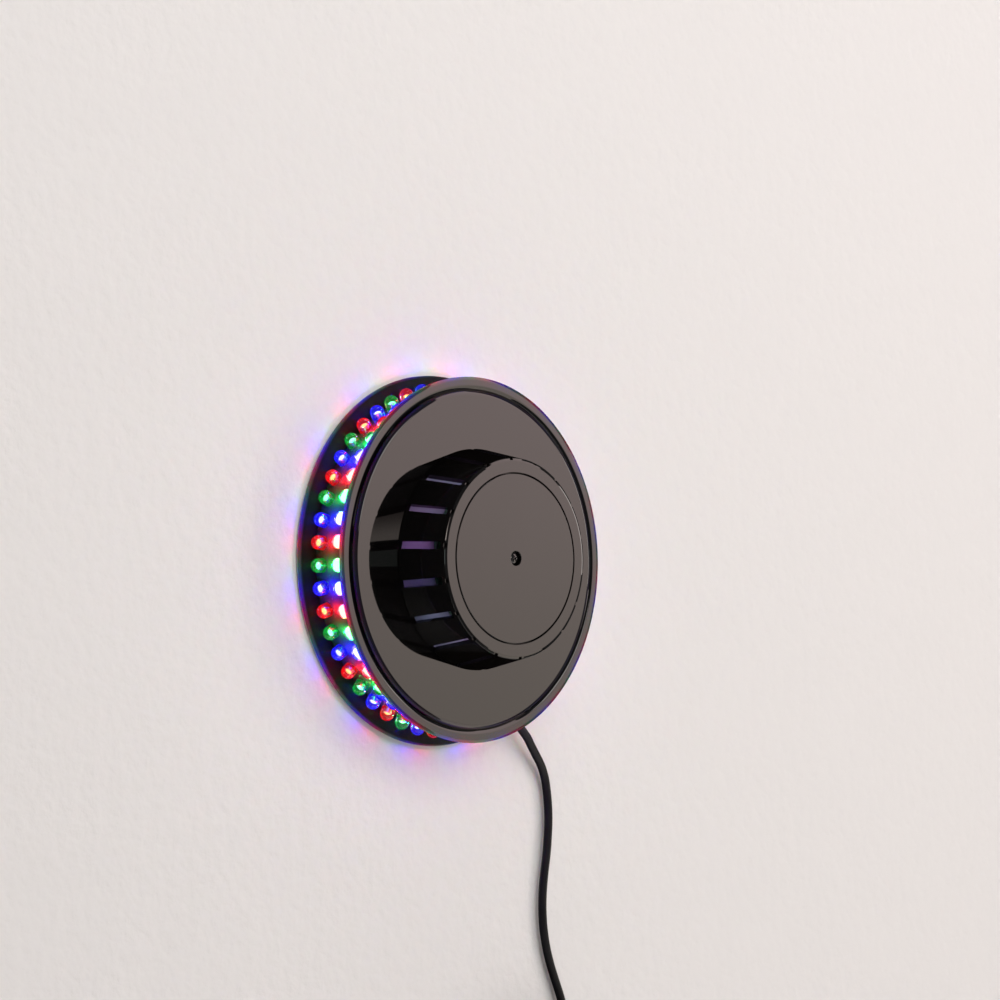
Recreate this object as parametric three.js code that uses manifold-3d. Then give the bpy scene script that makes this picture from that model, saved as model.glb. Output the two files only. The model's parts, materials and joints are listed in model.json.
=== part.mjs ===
// A round disco light for a wall: two black discs with a drum of clear LEDs between them, a slotted hub
// in front, and a lead with a plug.
// Millimetres. Each piece is made in the lamp's own axes: x to the right, y up, and z out of the wall.
// At the end the lamp is turned as a whole, so that +Z is up and the wall is the plane y = 0.

import * as THREE from "three";
import { mergeVertices } from "three/addons/utils/BufferGeometryUtils.js";
import Module from "manifold-3d";

const wasm = await Module();
wasm.setup();

// Clearances
const gap = 0.3; // between pieces that seat on, slide in or pass through each other
const overrun = 1; // how far a cut runs past the face that it opens
const bury = 0.4; // how far a boss or leg starts inside the piece that it grows from

// The cross in a screw's head
const crossLengthShare = 1.2; // of the head's radius
const crossWidthShare = 0.24; // of the head's radius
const crossDepthShare = 0.5; // of the head's height

// How finely round things are cut
const discSides = 48;
const boardSides = 24;
const bossSides = 10;
const screwSides = 6;
const capScrewSides = 12;

// Rear disc, against the wall
const rearRadius = 66.5;
const rearThickness = 2;
const rearEdge = 0.8; // rounding of its front edge
const rearBackEdge = 0.3; // chamfer at the wall

// Front disc
const discDepth = 22; // wall to front face
const frontRadius = 65;
const frontThickness = 2.4;
const frontEdge = 0.4;
const grooveRadius = 60.35; // middle of the groove round the face
const grooveWidth = 2.7;
const grooveDepth = 1.5;
const ringDrop = 0.8; // how far the ring outside the groove lies behind the face
const grooveBevel = 0.3;

// Drum that holds the LEDs, and its seats in the two discs
const drumRadius = 59.4; // to its flats
const drumWall = 3;
const seatDepth = 0.6;

// LEDs
const ledsPerRow = 48;
const ledPhase = 2.8; // degrees, place of the first LED, turning from +x towards +y
const ledColours = ["green", "blue", "red"];
const ledRadius = 2.5;
const ledLength = 8.6;
const ledShows = 4.3; // from the drum to the tip
const ledHoleGap = 0.35;
const ledSides = 6;
const ledDomeShare = 0.72; // of the LED's radius, in the chamfer that stands for its dome
const rearRowDepth = 5; // wall to the middle of the rear row
const frontRowDepth = 15.6;
const ringWire = 0.8; // ring lead behind each colour of a row
const ringSpacing = 1.3;
const legLength = 1.2;
const legWidth = 0.6;

// Hub
const hubHeight = 19; // front face of the disc to front of the hub
const hubBaseRadius = 39.3; // to the corners
const hubFrontRadius = 35.3;
const hubFacets = 18;
const hubPhase = 13.75; // degrees, place of the first slot
const hubWall = 2;
const hubRimBevel = 0.5;
const slotWidth = 2.7;
const slotHead = 2.1; // solid wall above each slot, which is open at the hub's foot
const nickWidth = 1.5;
const nickDepth = 0.8;
const capRadius = 29.8;
const capThickness = 2.2;
const capSeam = 0.5;
const capBevel = 0.25;
const ledgeWidth = 3.6;
const ledgeThickness = 2;

// Screw in the middle of the hub cap, and the post that takes it
const capScrewHead = 2.1; // radius
const capScrewHeadHeight = 1.1;
const capScrewShank = 1.1;
const capScrewLength = 8;
const capScrewSunk = 0.5;
const capBossRadius = 5;
const capBossHeight = 1.8;
const postRadius = 3.6;

// Three screws that hold the two discs together, and their columns
const coverScrewCircle = 34;
const coverScrewPhase = 30;
const coverScrewHead = 2.8;
const coverScrewHeadHeight = 1.7;
const coverScrewShank = 1.5;
const coverScrewLength = 12;
const counterboreDepth = 5;
const columnFloor = 1.6;
const rearColumnRadius = 4.6;
const frontColumnRadius = 3.5;

// Three screws that hold the hub to the front disc
const hubScrewCircle = 31.2;
const hubScrewHead = 2.4;
const hubScrewHeadHeight = 1.6;
const hubScrewShank = 1.3;
const hubScrewLength = 9;
const hubBossRadius = 3;

// Keyholes that the lamp hangs on
const keyholeSpacing = 40;
const keyholeHeight = 8; // above the middle
const keyholeEntry = 4; // radius of the hole for the screw's head
const keyholeSlot = 2.2; // half the width of the slot for its shank
const keyholeTravel = 7;

// Mode switch in the back, a slide switch
const switchX = -20;
const switchY = -14;
const switchLength = 13;
const switchWidth = 6.4;
const switchHeight = 5;
const sliderTravel = 3;
const sliderLength = 6;
const sliderWidth = 4;
const sliderThickness = 2;
const nubLength = 3;
const nubWidth = 2.6;
const nubSunk = 0.5; // below the back face
const cheekThickness = 1.2;
const cheekHeight = 3.4;

// LED board, a ring between the two rows, and the pegs that it sits on
const ledBoardInner = 40;
const ledBoardOuter = 52.4;
const ledBoardDepth = 9.5; // wall to its rear face
const boardThickness = 1.6;
const ledPegCircle = 46.5;
const ledPegs = 4;
const pegPostRadius = 2.5;
const pegRadius = 1.2;
const pegTop = 1; // how far a peg stands out of its board

// Driver board in the hub
const driverRadius = 27.2;
const driverStandoff = 5; // front disc to the board
const driverPegCircle = 20;
const driverPegs = 3;
const driverPegPhase = 90;

// Pieces on the driver board: places and sizes
const filmCapacitor = { x: -13, y: 9, length: 13, width: 6, height: 9 };
const smoothingCapacitor = { x: 13, y: 11, radius: 4, height: 8.4, ring: 0.3, ringHeight: 1.2 };
const controllerChip = { x: -1, y: -19.4, length: 10, width: 6.4, height: 3.2, lift: 0.5, pins: 4 };
const chipPin = { pitch: 2.54, width: 0.9, thickness: 0.5, height: 2.4 };
const bridgeRectifier = { x: -8, y: 18.5, length: 8.4, width: 6.4, height: 3.2 };
const microphone = { x: -22, y: -4, radius: 3, height: 5, rim: 0.4, hole: 0.9, holeDepth: 1 };
const transistor = { x: 12, y: -12, pitch: 6, width: 4.6, depth: 3.6, height: 4.6, lift: 2, leg: 0.5 };

// Holes in the front disc for the lead and the ribbon
const leadHoleRadius = 3;
const ribbonWidth = 5;
const ribbonThickness = 1.2;
const ribbonAngle = 122.8;
const ribbonCircle = 17;
const ribbonFootCircle = 44;
const ribbonLevel = 4; // how far the ribbon runs behind the front disc
const ribbonBend = 4;

// Lead: it leaves through the rear row, in the place of one LED
const leadPlace = 40; // which place in the rear row
const leadRadius = 1.6;
const leadSides = 8;
const leadStep = 8; // between the tube's rings
const leadBend = 13; // inside the lamp, where it turns towards the hub
const leadRiseCircle = 17.2;
const reliefLength = 20;
const reliefOutside = 6.8; // how much of it stands out of the drum
const reliefRadius = 2.5;
const reliefTipRadius = 2;
const reliefHeadWidth = 8.2;
const reliefHeadHeight = 5;
const reliefHeadLength = 2;

// Clamp on the lead inside the lamp
const clampCircle = 34.5;
const clampLength = 17;
const clampWidth = 6;
const clampThickness = 1.6;
const clampScrewSpacing = 11;
const clampBossRadius = 2.4;
const clampScrewHead = 2;
const clampScrewHeadHeight = 1.2;
const clampScrewShank = 1;
const clampScrewLength = 5;

// Route of the lead outside: x, y and distance from the wall to its middle
const leadRoute = [
  [37.2, -57.4, 5.0],
  [39.0, -59.6, 5.0],
  [41.4, -62.0, 4.9],
  [44.3, -64.7, 4.6],
  [46.7, -67.4, 4.1],
  [50.1, -71.1, 3.4],
  [53.5, -74.9, 2.7],
  [55.8, -78.7, 2.2],
  [57.1, -82.4, 1.9],
  [58.1, -88.9, 1.9],
  [58.4, -95.4, 1.9],
  [58.1, -101.0, 1.9],
  [57.6, -106.5, 1.9],
  [56.3, -114.2, 1.9],
  [55.3, -122.0, 1.9],
  [55.2, -130.4, 1.9],
  [56.2, -138.2, 1.9],
  [58.5, -146.5, 1.9],
  [61.8, -154.4, 1.9],
  [65.0, -162.1, 2.1],
  [66.8, -170.0, 2.6],
  [67.2, -178.0, 3.1],
];

// Coil of the length that is put away
const coilX = 45.4;
const coilY = -190;
const coilFoot = 1.6; // wall to the lowest turns
const coilOuter = 21.8; // radius of the outermost turn's middle
const coilPitch = 3.72;
const coilRise = 3.68;
const coilLayers = 4;
const coilTurnsPerLayer = 1.8125;
const coilClimbTurns = 0.5; // part of a turn over which it climbs to the next layer
const coilSteps = 24; // in a turn
const coilSides = 6;
const tieAngle = 180;
const tieThickness = 0.8;
const tieWidth = 6;
const tieSlack = 0.7;

// Route of the short end from the coil to the plug, from the end of the coil: x, y and z
const tailRoute = [
  [-6.0, 0.0, 0.0],
  [-12.0, 0.0, -0.3],
  [-17.5, 0.0, -1.7],
  [-22.5, 0.0, -4.0],
  [-27.5, 0.0, -5.9],
  [-31.0, 0.0, -6.6],
];

// Plug with two round pins
const plugLength = 32;
const plugWidth = 35.3;
const plugNeckWidth = 14;
const plugThickness = 13.7;
const plugCorner = 4;
const plugShoulder = 13; // length of the slanting shoulders
const plugReliefLength = 13;
const plugReliefRadius = 3.4;
const plugReliefTip = 2.3;
const plugLift = 0.3; // off the wall
const pinSpacing = 18.6;
const pinRadius = 2;
const pinLength = 19;
const pinSleeve = 10; // insulated part
const pinSleeveStep = 0.15;
const pinTipRadius = 1.2;
const pinSocketDepth = 3;

// Places worked out from these
const hubFront = discDepth + hubHeight;
const frontBack = discDepth - frontThickness;
const drumInner = drumRadius - drumWall;
const ledTip = drumRadius + ledShows;
const ledBase = ledTip - ledLength;
const ringRadius = ledBase - legLength;
const ledHole = ledRadius + ledHoleGap;
const hubFoot = discDepth + gap;
const capFront = hubFront;
const capBack = capFront - capThickness;
const capBossBack = capBack - capBossHeight;
const capRecessRadius = capScrewHead + gap + gap / 2;
const capRecessFloor = capFront - capScrewSunk - capScrewHeadHeight - gap;
const ledgeFront = capBack - gap;
const ledgeInner = capRadius + capSeam - ledgeWidth;
const rearColumnTop = counterboreDepth + columnFloor;
const driverBack = discDepth + driverStandoff;
const driverFront = driverBack + boardThickness;
const leadAngle = ledPhase + (leadPlace * 360) / ledsPerRow;
const reliefTip = drumRadius + reliefOutside;
const reliefTail = reliefTip - reliefLength;
const turn = 2 * Math.PI;
const coilTurns = coilLayers * coilTurnsPerLayer;

const radians = (degrees) => (degrees * Math.PI) / 180;
const polar = (radius, degrees) => [
  radius * Math.cos(radians(degrees)),
  radius * Math.sin(radians(degrees)),
];
const ledAngle = (place) => ledPhase + (place * 360) / ledsPerRow;

// Solids from geometry, and geometry from solids
function solid(geometry) {
  const bare = geometry.clone();
  bare.deleteAttribute("normal");
  bare.deleteAttribute("uv");
  const merged = mergeVertices(bare);
  return new wasm.Manifold(
    new wasm.Mesh({
      numProp: 3,
      vertProperties: new Float32Array(merged.attributes.position.array),
      triVerts: new Uint32Array(merged.index.array),
    }),
  );
}

function geometryOf(shape) {
  const mesh = shape.getMesh();
  const geometry = new THREE.BufferGeometry();
  geometry.setAttribute("position", new THREE.BufferAttribute(mesh.vertProperties, 3));
  geometry.setIndex(new THREE.BufferAttribute(mesh.triVerts, 1));
  const flat = geometry.toNonIndexed();
  flat.computeVertexNormals();
  return flat;
}

const join = (pieces) => pieces.reduce((all, piece) => all.add(piece));
const cut = (shape, pieces) => pieces.reduce((rest, piece) => rest.subtract(piece), shape);

// A shape turned about the z axis. Each point of the profile is [radius, z], and they go round the section
// anticlockwise. Its first corner is at the angle `phase`.
function turned(profile, sides, phase = 0) {
  const points = [...profile, profile[0]].map(([r, z]) => new THREE.Vector2(r, z));
  const lathe = new THREE.LatheGeometry(points, sides, radians(phase + 90), turn);
  return solid(lathe.rotateX(Math.PI / 2));
}

function rod(radius, from, to, sides = bossSides, x = 0, y = 0) {
  const profile = [
    [0, from],
    [radius, from],
    [radius, to],
    [0, to],
  ];
  return turned(profile, sides).translate([x, y, 0]);
}

function block(length, width, from, to, x = 0, y = 0, degrees = 0) {
  const box = new THREE.BoxGeometry(length, width, to - from);
  return solid(box.rotateZ(radians(degrees)).translate(x, y, (from + to) / 2));
}

function plate(shape, from, to) {
  const slab = new THREE.ExtrudeGeometry(shape, { depth: to - from, bevelEnabled: false });
  return solid(slab.translate(0, 0, from));
}

// A regular ring with flat sides that face the LEDs of a row
function ledRing(inner, outer, from, to) {
  const share = Math.cos(Math.PI / ledsPerRow);
  const corner = (radius, place) => {
    const [x, y] = polar(radius / share, ledAngle(place + 0.5));
    return new THREE.Vector2(x, y);
  };
  const places = Array.from({ length: ledsPerRow }, (_, place) => place);
  const shape = new THREE.Shape(places.map((place) => corner(outer, place)));
  shape.holes.push(new THREE.Path(places.map((place) => corner(inner, place))));
  return plate(shape, from, to);
}

// Turns a shape made along z so that it points out of the drum at an angle, at a distance from the wall
const pointOut = (shape, degrees, depth) =>
  shape.rotate([0, 90, 0]).rotate([0, 0, degrees]).translate([0, 0, depth]);

// A screw along z with its head at the lower end. Its head starts at z = 0.
function screw(headRadius, headHeight, shankRadius, length, sides = screwSides) {
  const body = turned(
    [
      [0, 0],
      [headRadius, 0],
      [headRadius, headHeight],
      [shankRadius, headHeight],
      [shankRadius, headHeight + length],
      [0, headHeight + length],
    ],
    sides,
  );
  const armLength = headRadius * crossLengthShare;
  const armWidth = headRadius * crossWidthShare;
  const slot = headHeight * crossDepthShare;
  return cut(body, [
    block(armLength, armWidth, -overrun, slot),
    block(armWidth, armLength, -overrun, slot),
  ]);
}

const flipped = (shape, z) => shape.rotate([180, 0, 0]).translate([0, 0, z]);
const placesOn = (circle, count, phase) =>
  Array.from({ length: count }, (_, k) => polar(circle, phase + (k * 360) / count));

// Where the screws and pegs are
const coverScrewPlaces = placesOn(coverScrewCircle, 3, coverScrewPhase);
const hubScrewPhase = hubPhase + 180 / hubFacets + (3 * 360) / hubFacets;
const hubScrewPlaces = placesOn(hubScrewCircle, 3, hubScrewPhase);
const ledPegPlaces = placesOn(ledPegCircle, ledPegs, 180 / ledPegs);
const driverPegPlaces = placesOn(driverPegCircle, driverPegs, driverPegPhase);
const leadHolePlace = polar(leadRiseCircle, leadAngle);
const ribbonHolePlace = polar(ribbonCircle, ribbonAngle);
const clampCentre = polar(clampCircle, leadAngle);
const clampScrewPlaces = [-1, 1].map((side) => {
  const [x, y] = polar((side * clampScrewSpacing) / 2, leadAngle + 90);
  return [clampCentre[0] + x, clampCentre[1] + y];
});
const clampBossTop = rearRowDepth + leadRadius;

// The groove in a disc that takes an edge of the drum
const drumSeatCut = (from, to) => ledRing(drumInner - gap, drumRadius + gap, from, to);

// How far the middle of a rounded edge stands back from its two faces
const edgeInset = (radius) => radius * (1 - Math.SQRT1_2);

// Rear disc with columns for the screws, pegs for the LED board, keyholes and the window of the switch
function rearCover() {
  const inset = edgeInset(rearEdge);
  const disc = turned(
    [
      [0, 0],
      [rearRadius - rearBackEdge, 0],
      [rearRadius, rearBackEdge],
      [rearRadius, rearThickness - rearEdge],
      [rearRadius - inset, rearThickness - inset],
      [rearRadius - rearEdge, rearThickness],
      [0, rearThickness],
    ],
    discSides,
    ledAngle(0.5),
  );
  const inside = rearThickness - bury;
  const columns = coverScrewPlaces.map(([x, y]) =>
    rod(rearColumnRadius, inside, rearColumnTop, bossSides, x, y),
  );
  const pegFoot = ledBoardDepth - gap;
  const pegEnd = ledBoardDepth + boardThickness + pegTop;
  const pegs = ledPegPlaces.flatMap(([x, y]) => [
    rod(pegPostRadius, inside, pegFoot, bossSides, x, y),
    rod(pegRadius, pegFoot - bury, pegEnd, screwSides, x, y),
  ]);
  const clampBosses = clampScrewPlaces.map(([x, y]) =>
    rod(clampBossRadius, inside, clampBossTop, bossSides, x, y),
  );
  const cheekX = switchLength / 2 + gap + cheekThickness / 2;
  const cheeks = [-cheekX, cheekX].map((x) =>
    block(cheekThickness, switchWidth, inside, rearThickness + cheekHeight, switchX + x, switchY),
  );
  const whole = join([disc, ...columns, ...pegs, ...clampBosses, ...cheeks]);
  const counterbores = coverScrewPlaces.flatMap(([x, y]) => [
    rod(coverScrewHead + 2 * gap, -overrun, counterboreDepth, bossSides, x, y),
    rod(coverScrewShank + gap, counterboreDepth - overrun, rearColumnTop + overrun, screwSides, x, y),
  ]);
  const clampBores = clampScrewPlaces.map(([x, y]) =>
    rod(clampScrewShank + gap, clampBossTop - clampScrewLength, clampBossTop + overrun, screwSides, x, y),
  );
  const drumSeat = drumSeatCut(rearThickness - seatDepth, rearThickness + overrun);
  return cut(whole, [...counterbores, ...clampBores, drumSeat, ...keyholes(), switchWindow()]);
}

function keyholes() {
  const top = rearThickness + overrun;
  return [-1, 1].flatMap((side) => {
    const x = (side * keyholeSpacing) / 2;
    return [
      rod(keyholeEntry, -overrun, top, bossSides, x, keyholeHeight),
      rod(keyholeSlot, -overrun, top, bossSides, x, keyholeHeight + keyholeTravel),
      block(2 * keyholeSlot, keyholeTravel, -overrun, top, x, keyholeHeight + keyholeTravel / 2),
    ];
  });
}

function switchWindow() {
  const length = nubLength + sliderTravel + 2 * gap;
  const width = nubWidth + 2 * gap;
  return block(length, width, -overrun, rearThickness + overrun, switchX, switchY);
}

// The slide switch: a case with a pocket that opens towards the back, and its slider
function modeSwitchCase() {
  const back = rearThickness + gap;
  const pocketFloor = back + sliderThickness + gap;
  const body = block(switchLength, switchWidth, back, back + switchHeight, switchX, switchY);
  const pocket = block(
    sliderLength + sliderTravel + 2 * gap,
    sliderWidth + 2 * gap,
    back - overrun,
    pocketFloor,
    switchX,
    switchY,
  );
  return body.subtract(pocket);
}

function modeSlider() {
  const back = rearThickness + gap;
  const x = switchX - sliderTravel / 2;
  const base = block(sliderLength, sliderWidth, back, back + sliderThickness, x, switchY);
  const nub = block(nubLength, nubWidth, nubSunk, back + bury, x, switchY);
  return base.add(nub);
}

// Drum with a hole for each LED, and for the lead in the place of one
function ledDrum() {
  const from = rearThickness - seatDepth + gap;
  const to = frontBack + seatDepth - gap;
  const ring = ledRing(drumInner, drumRadius, from, to);
  const through = (radius, sides, place, depth) =>
    pointOut(rod(radius, drumInner - overrun, drumRadius + overrun, sides), ledAngle(place), depth);
  const places = Array.from({ length: ledsPerRow }, (_, place) => place);
  const frontHoles = places.map((place) => through(ledHole, ledSides, place, frontRowDepth));
  const rearHoles = places.map((place) =>
    place === leadPlace
      ? through(reliefRadius + gap, bossSides, place, rearRowDepth)
      : through(ledHole, ledSides, place, rearRowDepth),
  );
  return ring.subtract(join([...frontHoles, ...rearHoles]));
}

function led() {
  const side = ledTip - ledRadius * ledDomeShare;
  return turned(
    [
      [0, ledBase],
      [ledRadius, ledBase],
      [ledRadius, side],
      [ledRadius * (1 - ledDomeShare / 2), ledTip],
      [0, ledTip],
    ],
    ledSides,
  );
}

// One colour of a row: its LEDs, each on a leg of a ring lead that is open where the mains lead passes
function ledString(colour, depth, skipped) {
  const count = ledsPerRow / ledColours.length;
  const firstColour = (leadPlace + 1) % ledColours.length;
  const start = leadPlace + 1 + ((colour - firstColour + ledColours.length) % ledColours.length);
  const every = Array.from({ length: count }, (_, k) => start + k * ledColours.length);
  const places = every.filter((place) => place % ledsPerRow !== skipped);
  const half = ringWire / 2;
  const at = (place, along, across) => {
    const [x, y] = polar(along, ledAngle(place));
    const [u, v] = polar(across, ledAngle(place) + 90);
    return new THREE.Vector2(x + u, y + v);
  };
  const outer = places.flatMap((place) => [
    at(place, ringRadius + half, -legWidth / 2),
    at(place, ledBase + bury, -legWidth / 2),
    at(place, ledBase + bury, legWidth / 2),
    at(place, ringRadius + half, legWidth / 2),
  ]);
  const inner = places.map((place) => at(place, ringRadius - half, 0)).reverse();
  const middle = depth + (colour - 1) * ringSpacing;
  const ring = plate(new THREE.Shape([...outer, ...inner]), middle - half, middle + half);
  const body = led();
  return join([ring, ...places.map((place) => pointOut(body, ledAngle(place), depth))]);
}

// Front disc with the groove round its face, the post for the cap's screw, columns and pegs
function frontCover() {
  const inset = edgeInset(frontEdge);
  const ringFront = discDepth - ringDrop;
  const grooveOuter = grooveRadius + grooveWidth / 2;
  const grooveInner = grooveRadius - grooveWidth / 2;
  const disc = turned(
    [
      [0, frontBack],
      [frontRadius, frontBack],
      [frontRadius, ringFront - frontEdge],
      [frontRadius - inset, ringFront - inset],
      [frontRadius - frontEdge, ringFront],
      [grooveOuter + grooveBevel, ringFront],
      [grooveOuter, ringFront - grooveBevel],
      [grooveOuter, discDepth - grooveDepth],
      [grooveInner, discDepth - grooveDepth],
      [grooveInner, discDepth - grooveBevel],
      [grooveInner - grooveBevel, discDepth],
      [0, discDepth],
    ],
    discSides,
    ledAngle(0.5),
  );
  const columnBack = rearColumnTop + gap;
  const columns = coverScrewPlaces.map(([x, y]) =>
    rod(frontColumnRadius, columnBack, frontBack + bury, bossSides, x, y),
  );
  const post = rod(postRadius, discDepth - bury, capBossBack - gap, bossSides);
  const pegs = driverPegPlaces.flatMap(([x, y]) => [
    rod(pegPostRadius, discDepth - bury, driverBack - gap, bossSides, x, y),
    rod(pegRadius, driverBack - gap - bury, driverFront + pegTop, screwSides, x, y),
  ]);
  const whole = join([disc, ...columns, post, ...pegs]);
  const screwTip = counterboreDepth - gap + coverScrewLength;
  const bores = coverScrewPlaces.map(([x, y]) =>
    rod(coverScrewShank + gap, columnBack - overrun, screwTip + gap, screwSides, x, y),
  );
  const [below, above] = [frontBack - overrun, discDepth + overrun];
  const hubHoles = hubScrewPlaces.map(([x, y]) =>
    rod(hubScrewShank + gap, below, above, screwSides, x, y),
  );
  const capTip = capRecessFloor + gap - capScrewLength;
  const postBore = rod(capScrewShank + gap, capTip - gap, capBossBack, screwSides);
  const leadHole = rod(leadHoleRadius, below, above, bossSides, ...leadHolePlace);
  const ribbonHole = block(
    ribbonThickness + 4 * gap,
    ribbonWidth + 4 * gap,
    below,
    above,
    ...ribbonHolePlace,
    ribbonAngle,
  );
  const drumSeat = drumSeatCut(frontBack - overrun, frontBack + seatDepth);
  return cut(whole, [...bores, ...hubHoles, postBore, leadHole, ribbonHole, drumSeat]);
}

// Hub: a tapered shell with flat facets, a slot and a nick at each corner, a ledge for the cap and bosses
function hubHousing() {
  const slope = (hubBaseRadius - hubFrontRadius) / (hubFront - hubFoot);
  const radiusAt = (z) => hubBaseRadius - slope * (z - hubFoot);
  const ledgeBack = ledgeFront - ledgeThickness;
  const shell = turned(
    [
      [hubBaseRadius - hubWall, hubFoot],
      [hubBaseRadius, hubFoot],
      [radiusAt(hubFront - hubRimBevel), hubFront - hubRimBevel],
      [hubFrontRadius - hubRimBevel, hubFront],
      [ledgeInner, hubFront],
      [ledgeInner, ledgeBack],
      [radiusAt(ledgeBack) - hubWall, ledgeBack],
    ],
    hubFacets,
    hubPhase,
  );
  const seat = rod(capRadius + capSeam, ledgeFront, hubFront + overrun, discSides);
  const bosses = hubScrewPlaces.map(([x, y]) =>
    rod(hubBossRadius, hubFoot, ledgeBack + bury, bossSides, x, y),
  );
  const boreTop = frontBack - gap + hubScrewLength + gap;
  const bores = hubScrewPlaces.map(([x, y]) =>
    rod(hubScrewShank + gap, hubFoot - overrun, boreTop, screwSides, x, y),
  );
  const slotInner = radiusAt(ledgeBack) - 2 * hubWall;
  const slotOuter = hubBaseRadius + overrun;
  const corners = Array.from({ length: hubFacets }, (_, k) => hubPhase + (k * 360) / hubFacets);
  const slots = corners.map((degrees) =>
    block(
      slotOuter - slotInner,
      slotWidth,
      hubFoot - overrun,
      hubFront - slotHead,
      ...polar((slotInner + slotOuter) / 2, degrees),
      degrees,
    ),
  );
  const nicks = corners.map((degrees) =>
    block(
      2 * nickDepth,
      nickWidth,
      hubFront - nickDepth,
      hubFront + overrun,
      ...polar(hubFrontRadius, degrees),
      degrees,
    ),
  );
  return cut(shell.add(join(bosses)), [seat, ...bores, join(slots), join(nicks)]);
}

function hubCap() {
  const disc = turned(
    [
      [0, capBack],
      [capRadius, capBack],
      [capRadius, capFront - capBevel],
      [capRadius - capBevel, capFront],
      [0, capFront],
    ],
    discSides,
  );
  const boss = rod(capBossRadius, capBossBack, capBack + bury);
  const recess = rod(capRecessRadius, capRecessFloor, capFront + overrun, capScrewSides);
  const hole = rod(capScrewShank + gap, capBossBack - overrun, capFront, screwSides);
  return cut(disc.add(boss), [recess, hole]);
}

// Boards
function ledBoard() {
  const ring = turned(
    [
      [ledBoardInner, ledBoardDepth],
      [ledBoardOuter, ledBoardDepth],
      [ledBoardOuter, ledBoardDepth + boardThickness],
      [ledBoardInner, ledBoardDepth + boardThickness],
    ],
    boardSides,
  );
  const top = ledBoardDepth + boardThickness + overrun;
  const holes = ledPegPlaces.map(([x, y]) =>
    rod(pegRadius + gap, ledBoardDepth - overrun, top, screwSides, x, y),
  );
  return cut(ring, holes);
}

function driverBoard() {
  const disc = rod(driverRadius, driverBack, driverFront, boardSides);
  const top = driverFront + overrun;
  const holes = driverPegPlaces.map(([x, y]) =>
    rod(pegRadius + gap, driverBack - overrun, top, screwSides, x, y),
  );
  const middle = rod(postRadius + gap, driverBack - overrun, top, bossSides);
  return cut(disc, [...holes, middle]);
}

// Pieces on the driver board
const onBoard = driverFront + gap;

function filmCapacitorBody() {
  const { x, y, length, width, height } = filmCapacitor;
  return block(length, width, onBoard, onBoard + height, x, y);
}

function smoothingCapacitorBody() {
  const { x, y, radius, height, ring, ringHeight } = smoothingCapacitor;
  const profile = [
    [0, 0],
    [radius, 0],
    [radius, ringHeight],
    [radius - ring, ringHeight + ring],
    [radius, ringHeight + 2 * ring],
    [radius, height - ring],
    [radius - ring, height],
    [0, height],
  ];
  return turned(profile, bossSides).translate([x, y, onBoard]);
}

function controllerChipBody() {
  const { x, y, length, width, height, lift, pins } = controllerChip;
  const body = block(length, width, onBoard + lift, onBoard + lift + height, x, y);
  const legs = Array.from({ length: pins }, (_, k) => x + (k - (pins - 1) / 2) * chipPin.pitch);
  const { width: pinWidth, thickness, height: pinHeight } = chipPin;
  const rows = [-1, 1].flatMap((side) =>
    legs.map((at) => block(pinWidth, thickness, onBoard, onBoard + pinHeight, at, y + (side * width) / 2)),
  );
  return join([body, ...rows]);
}

function bridgeRectifierBody() {
  const { x, y, length, width, height } = bridgeRectifier;
  return block(length, width, onBoard, onBoard + height, x, y);
}

function microphoneCapsule() {
  const { x, y, radius, height, rim, hole, holeDepth } = microphone;
  const profile = [
    [0, 0],
    [radius, 0],
    [radius, height - rim],
    [radius - rim, height],
    [hole, height],
    [hole, height - holeDepth],
    [0, height - holeDepth],
  ];
  return turned(profile, bossSides).translate([x, y, onBoard]);
}

function channelTransistor(index) {
  const { x, y, pitch, width, depth, height, lift, leg } = transistor;
  const at = y + index * pitch;
  const body = block(depth, width, onBoard + lift, onBoard + lift + height, x, at);
  const legs = [-1, 0, 1].map((side) =>
    block(leg, leg, onBoard, onBoard + lift + bury, x, at + (side * width) / 3),
  );
  return join([body, ...legs]);
}

// A tube along a path, with a section that has its corners on the radius
function tube(points, radius, sides, step) {
  const stops = points.map((point) => new THREE.Vector3(...point));
  const extrudePath = new THREE.CatmullRomCurve3(stops, false, "centripetal");
  const steps = Math.max(1, Math.round(extrudePath.getLength() / step));
  const options = { steps, extrudePath, bevelEnabled: false };
  return solid(new THREE.ExtrudeGeometry(round(radius, sides), options));
}

function round(radius, sides) {
  const corners = Array.from({ length: sides }, (_, k) => polar(radius, ((k + 0.5) * 360) / sides));
  return new THREE.Shape(corners.map(([x, y]) => new THREE.Vector2(x, y)));
}

const alongLead = (radius, depth) => [...polar(radius, leadAngle), depth];

// Lead inside the lamp: along the rear disc, then in an arc up through the front disc to the driver board
function innerLead() {
  const arcCentre = leadRiseCircle + leadBend;
  const arc = [0, 30, 60, 90].map((degrees) =>
    alongLead(
      arcCentre - leadBend * Math.sin(radians(degrees)),
      rearRowDepth + leadBend * (1 - Math.cos(radians(degrees))),
    ),
  );
  const start = alongLead(reliefTail - gap, rearRowDepth);
  const middle = alongLead((reliefTail - gap + arcCentre) / 2, rearRowDepth);
  const end = alongLead(leadRiseCircle, driverBack - gap);
  return tube([start, middle, ...arc, end], leadRadius, leadSides, leadStep / 2);
}

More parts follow.
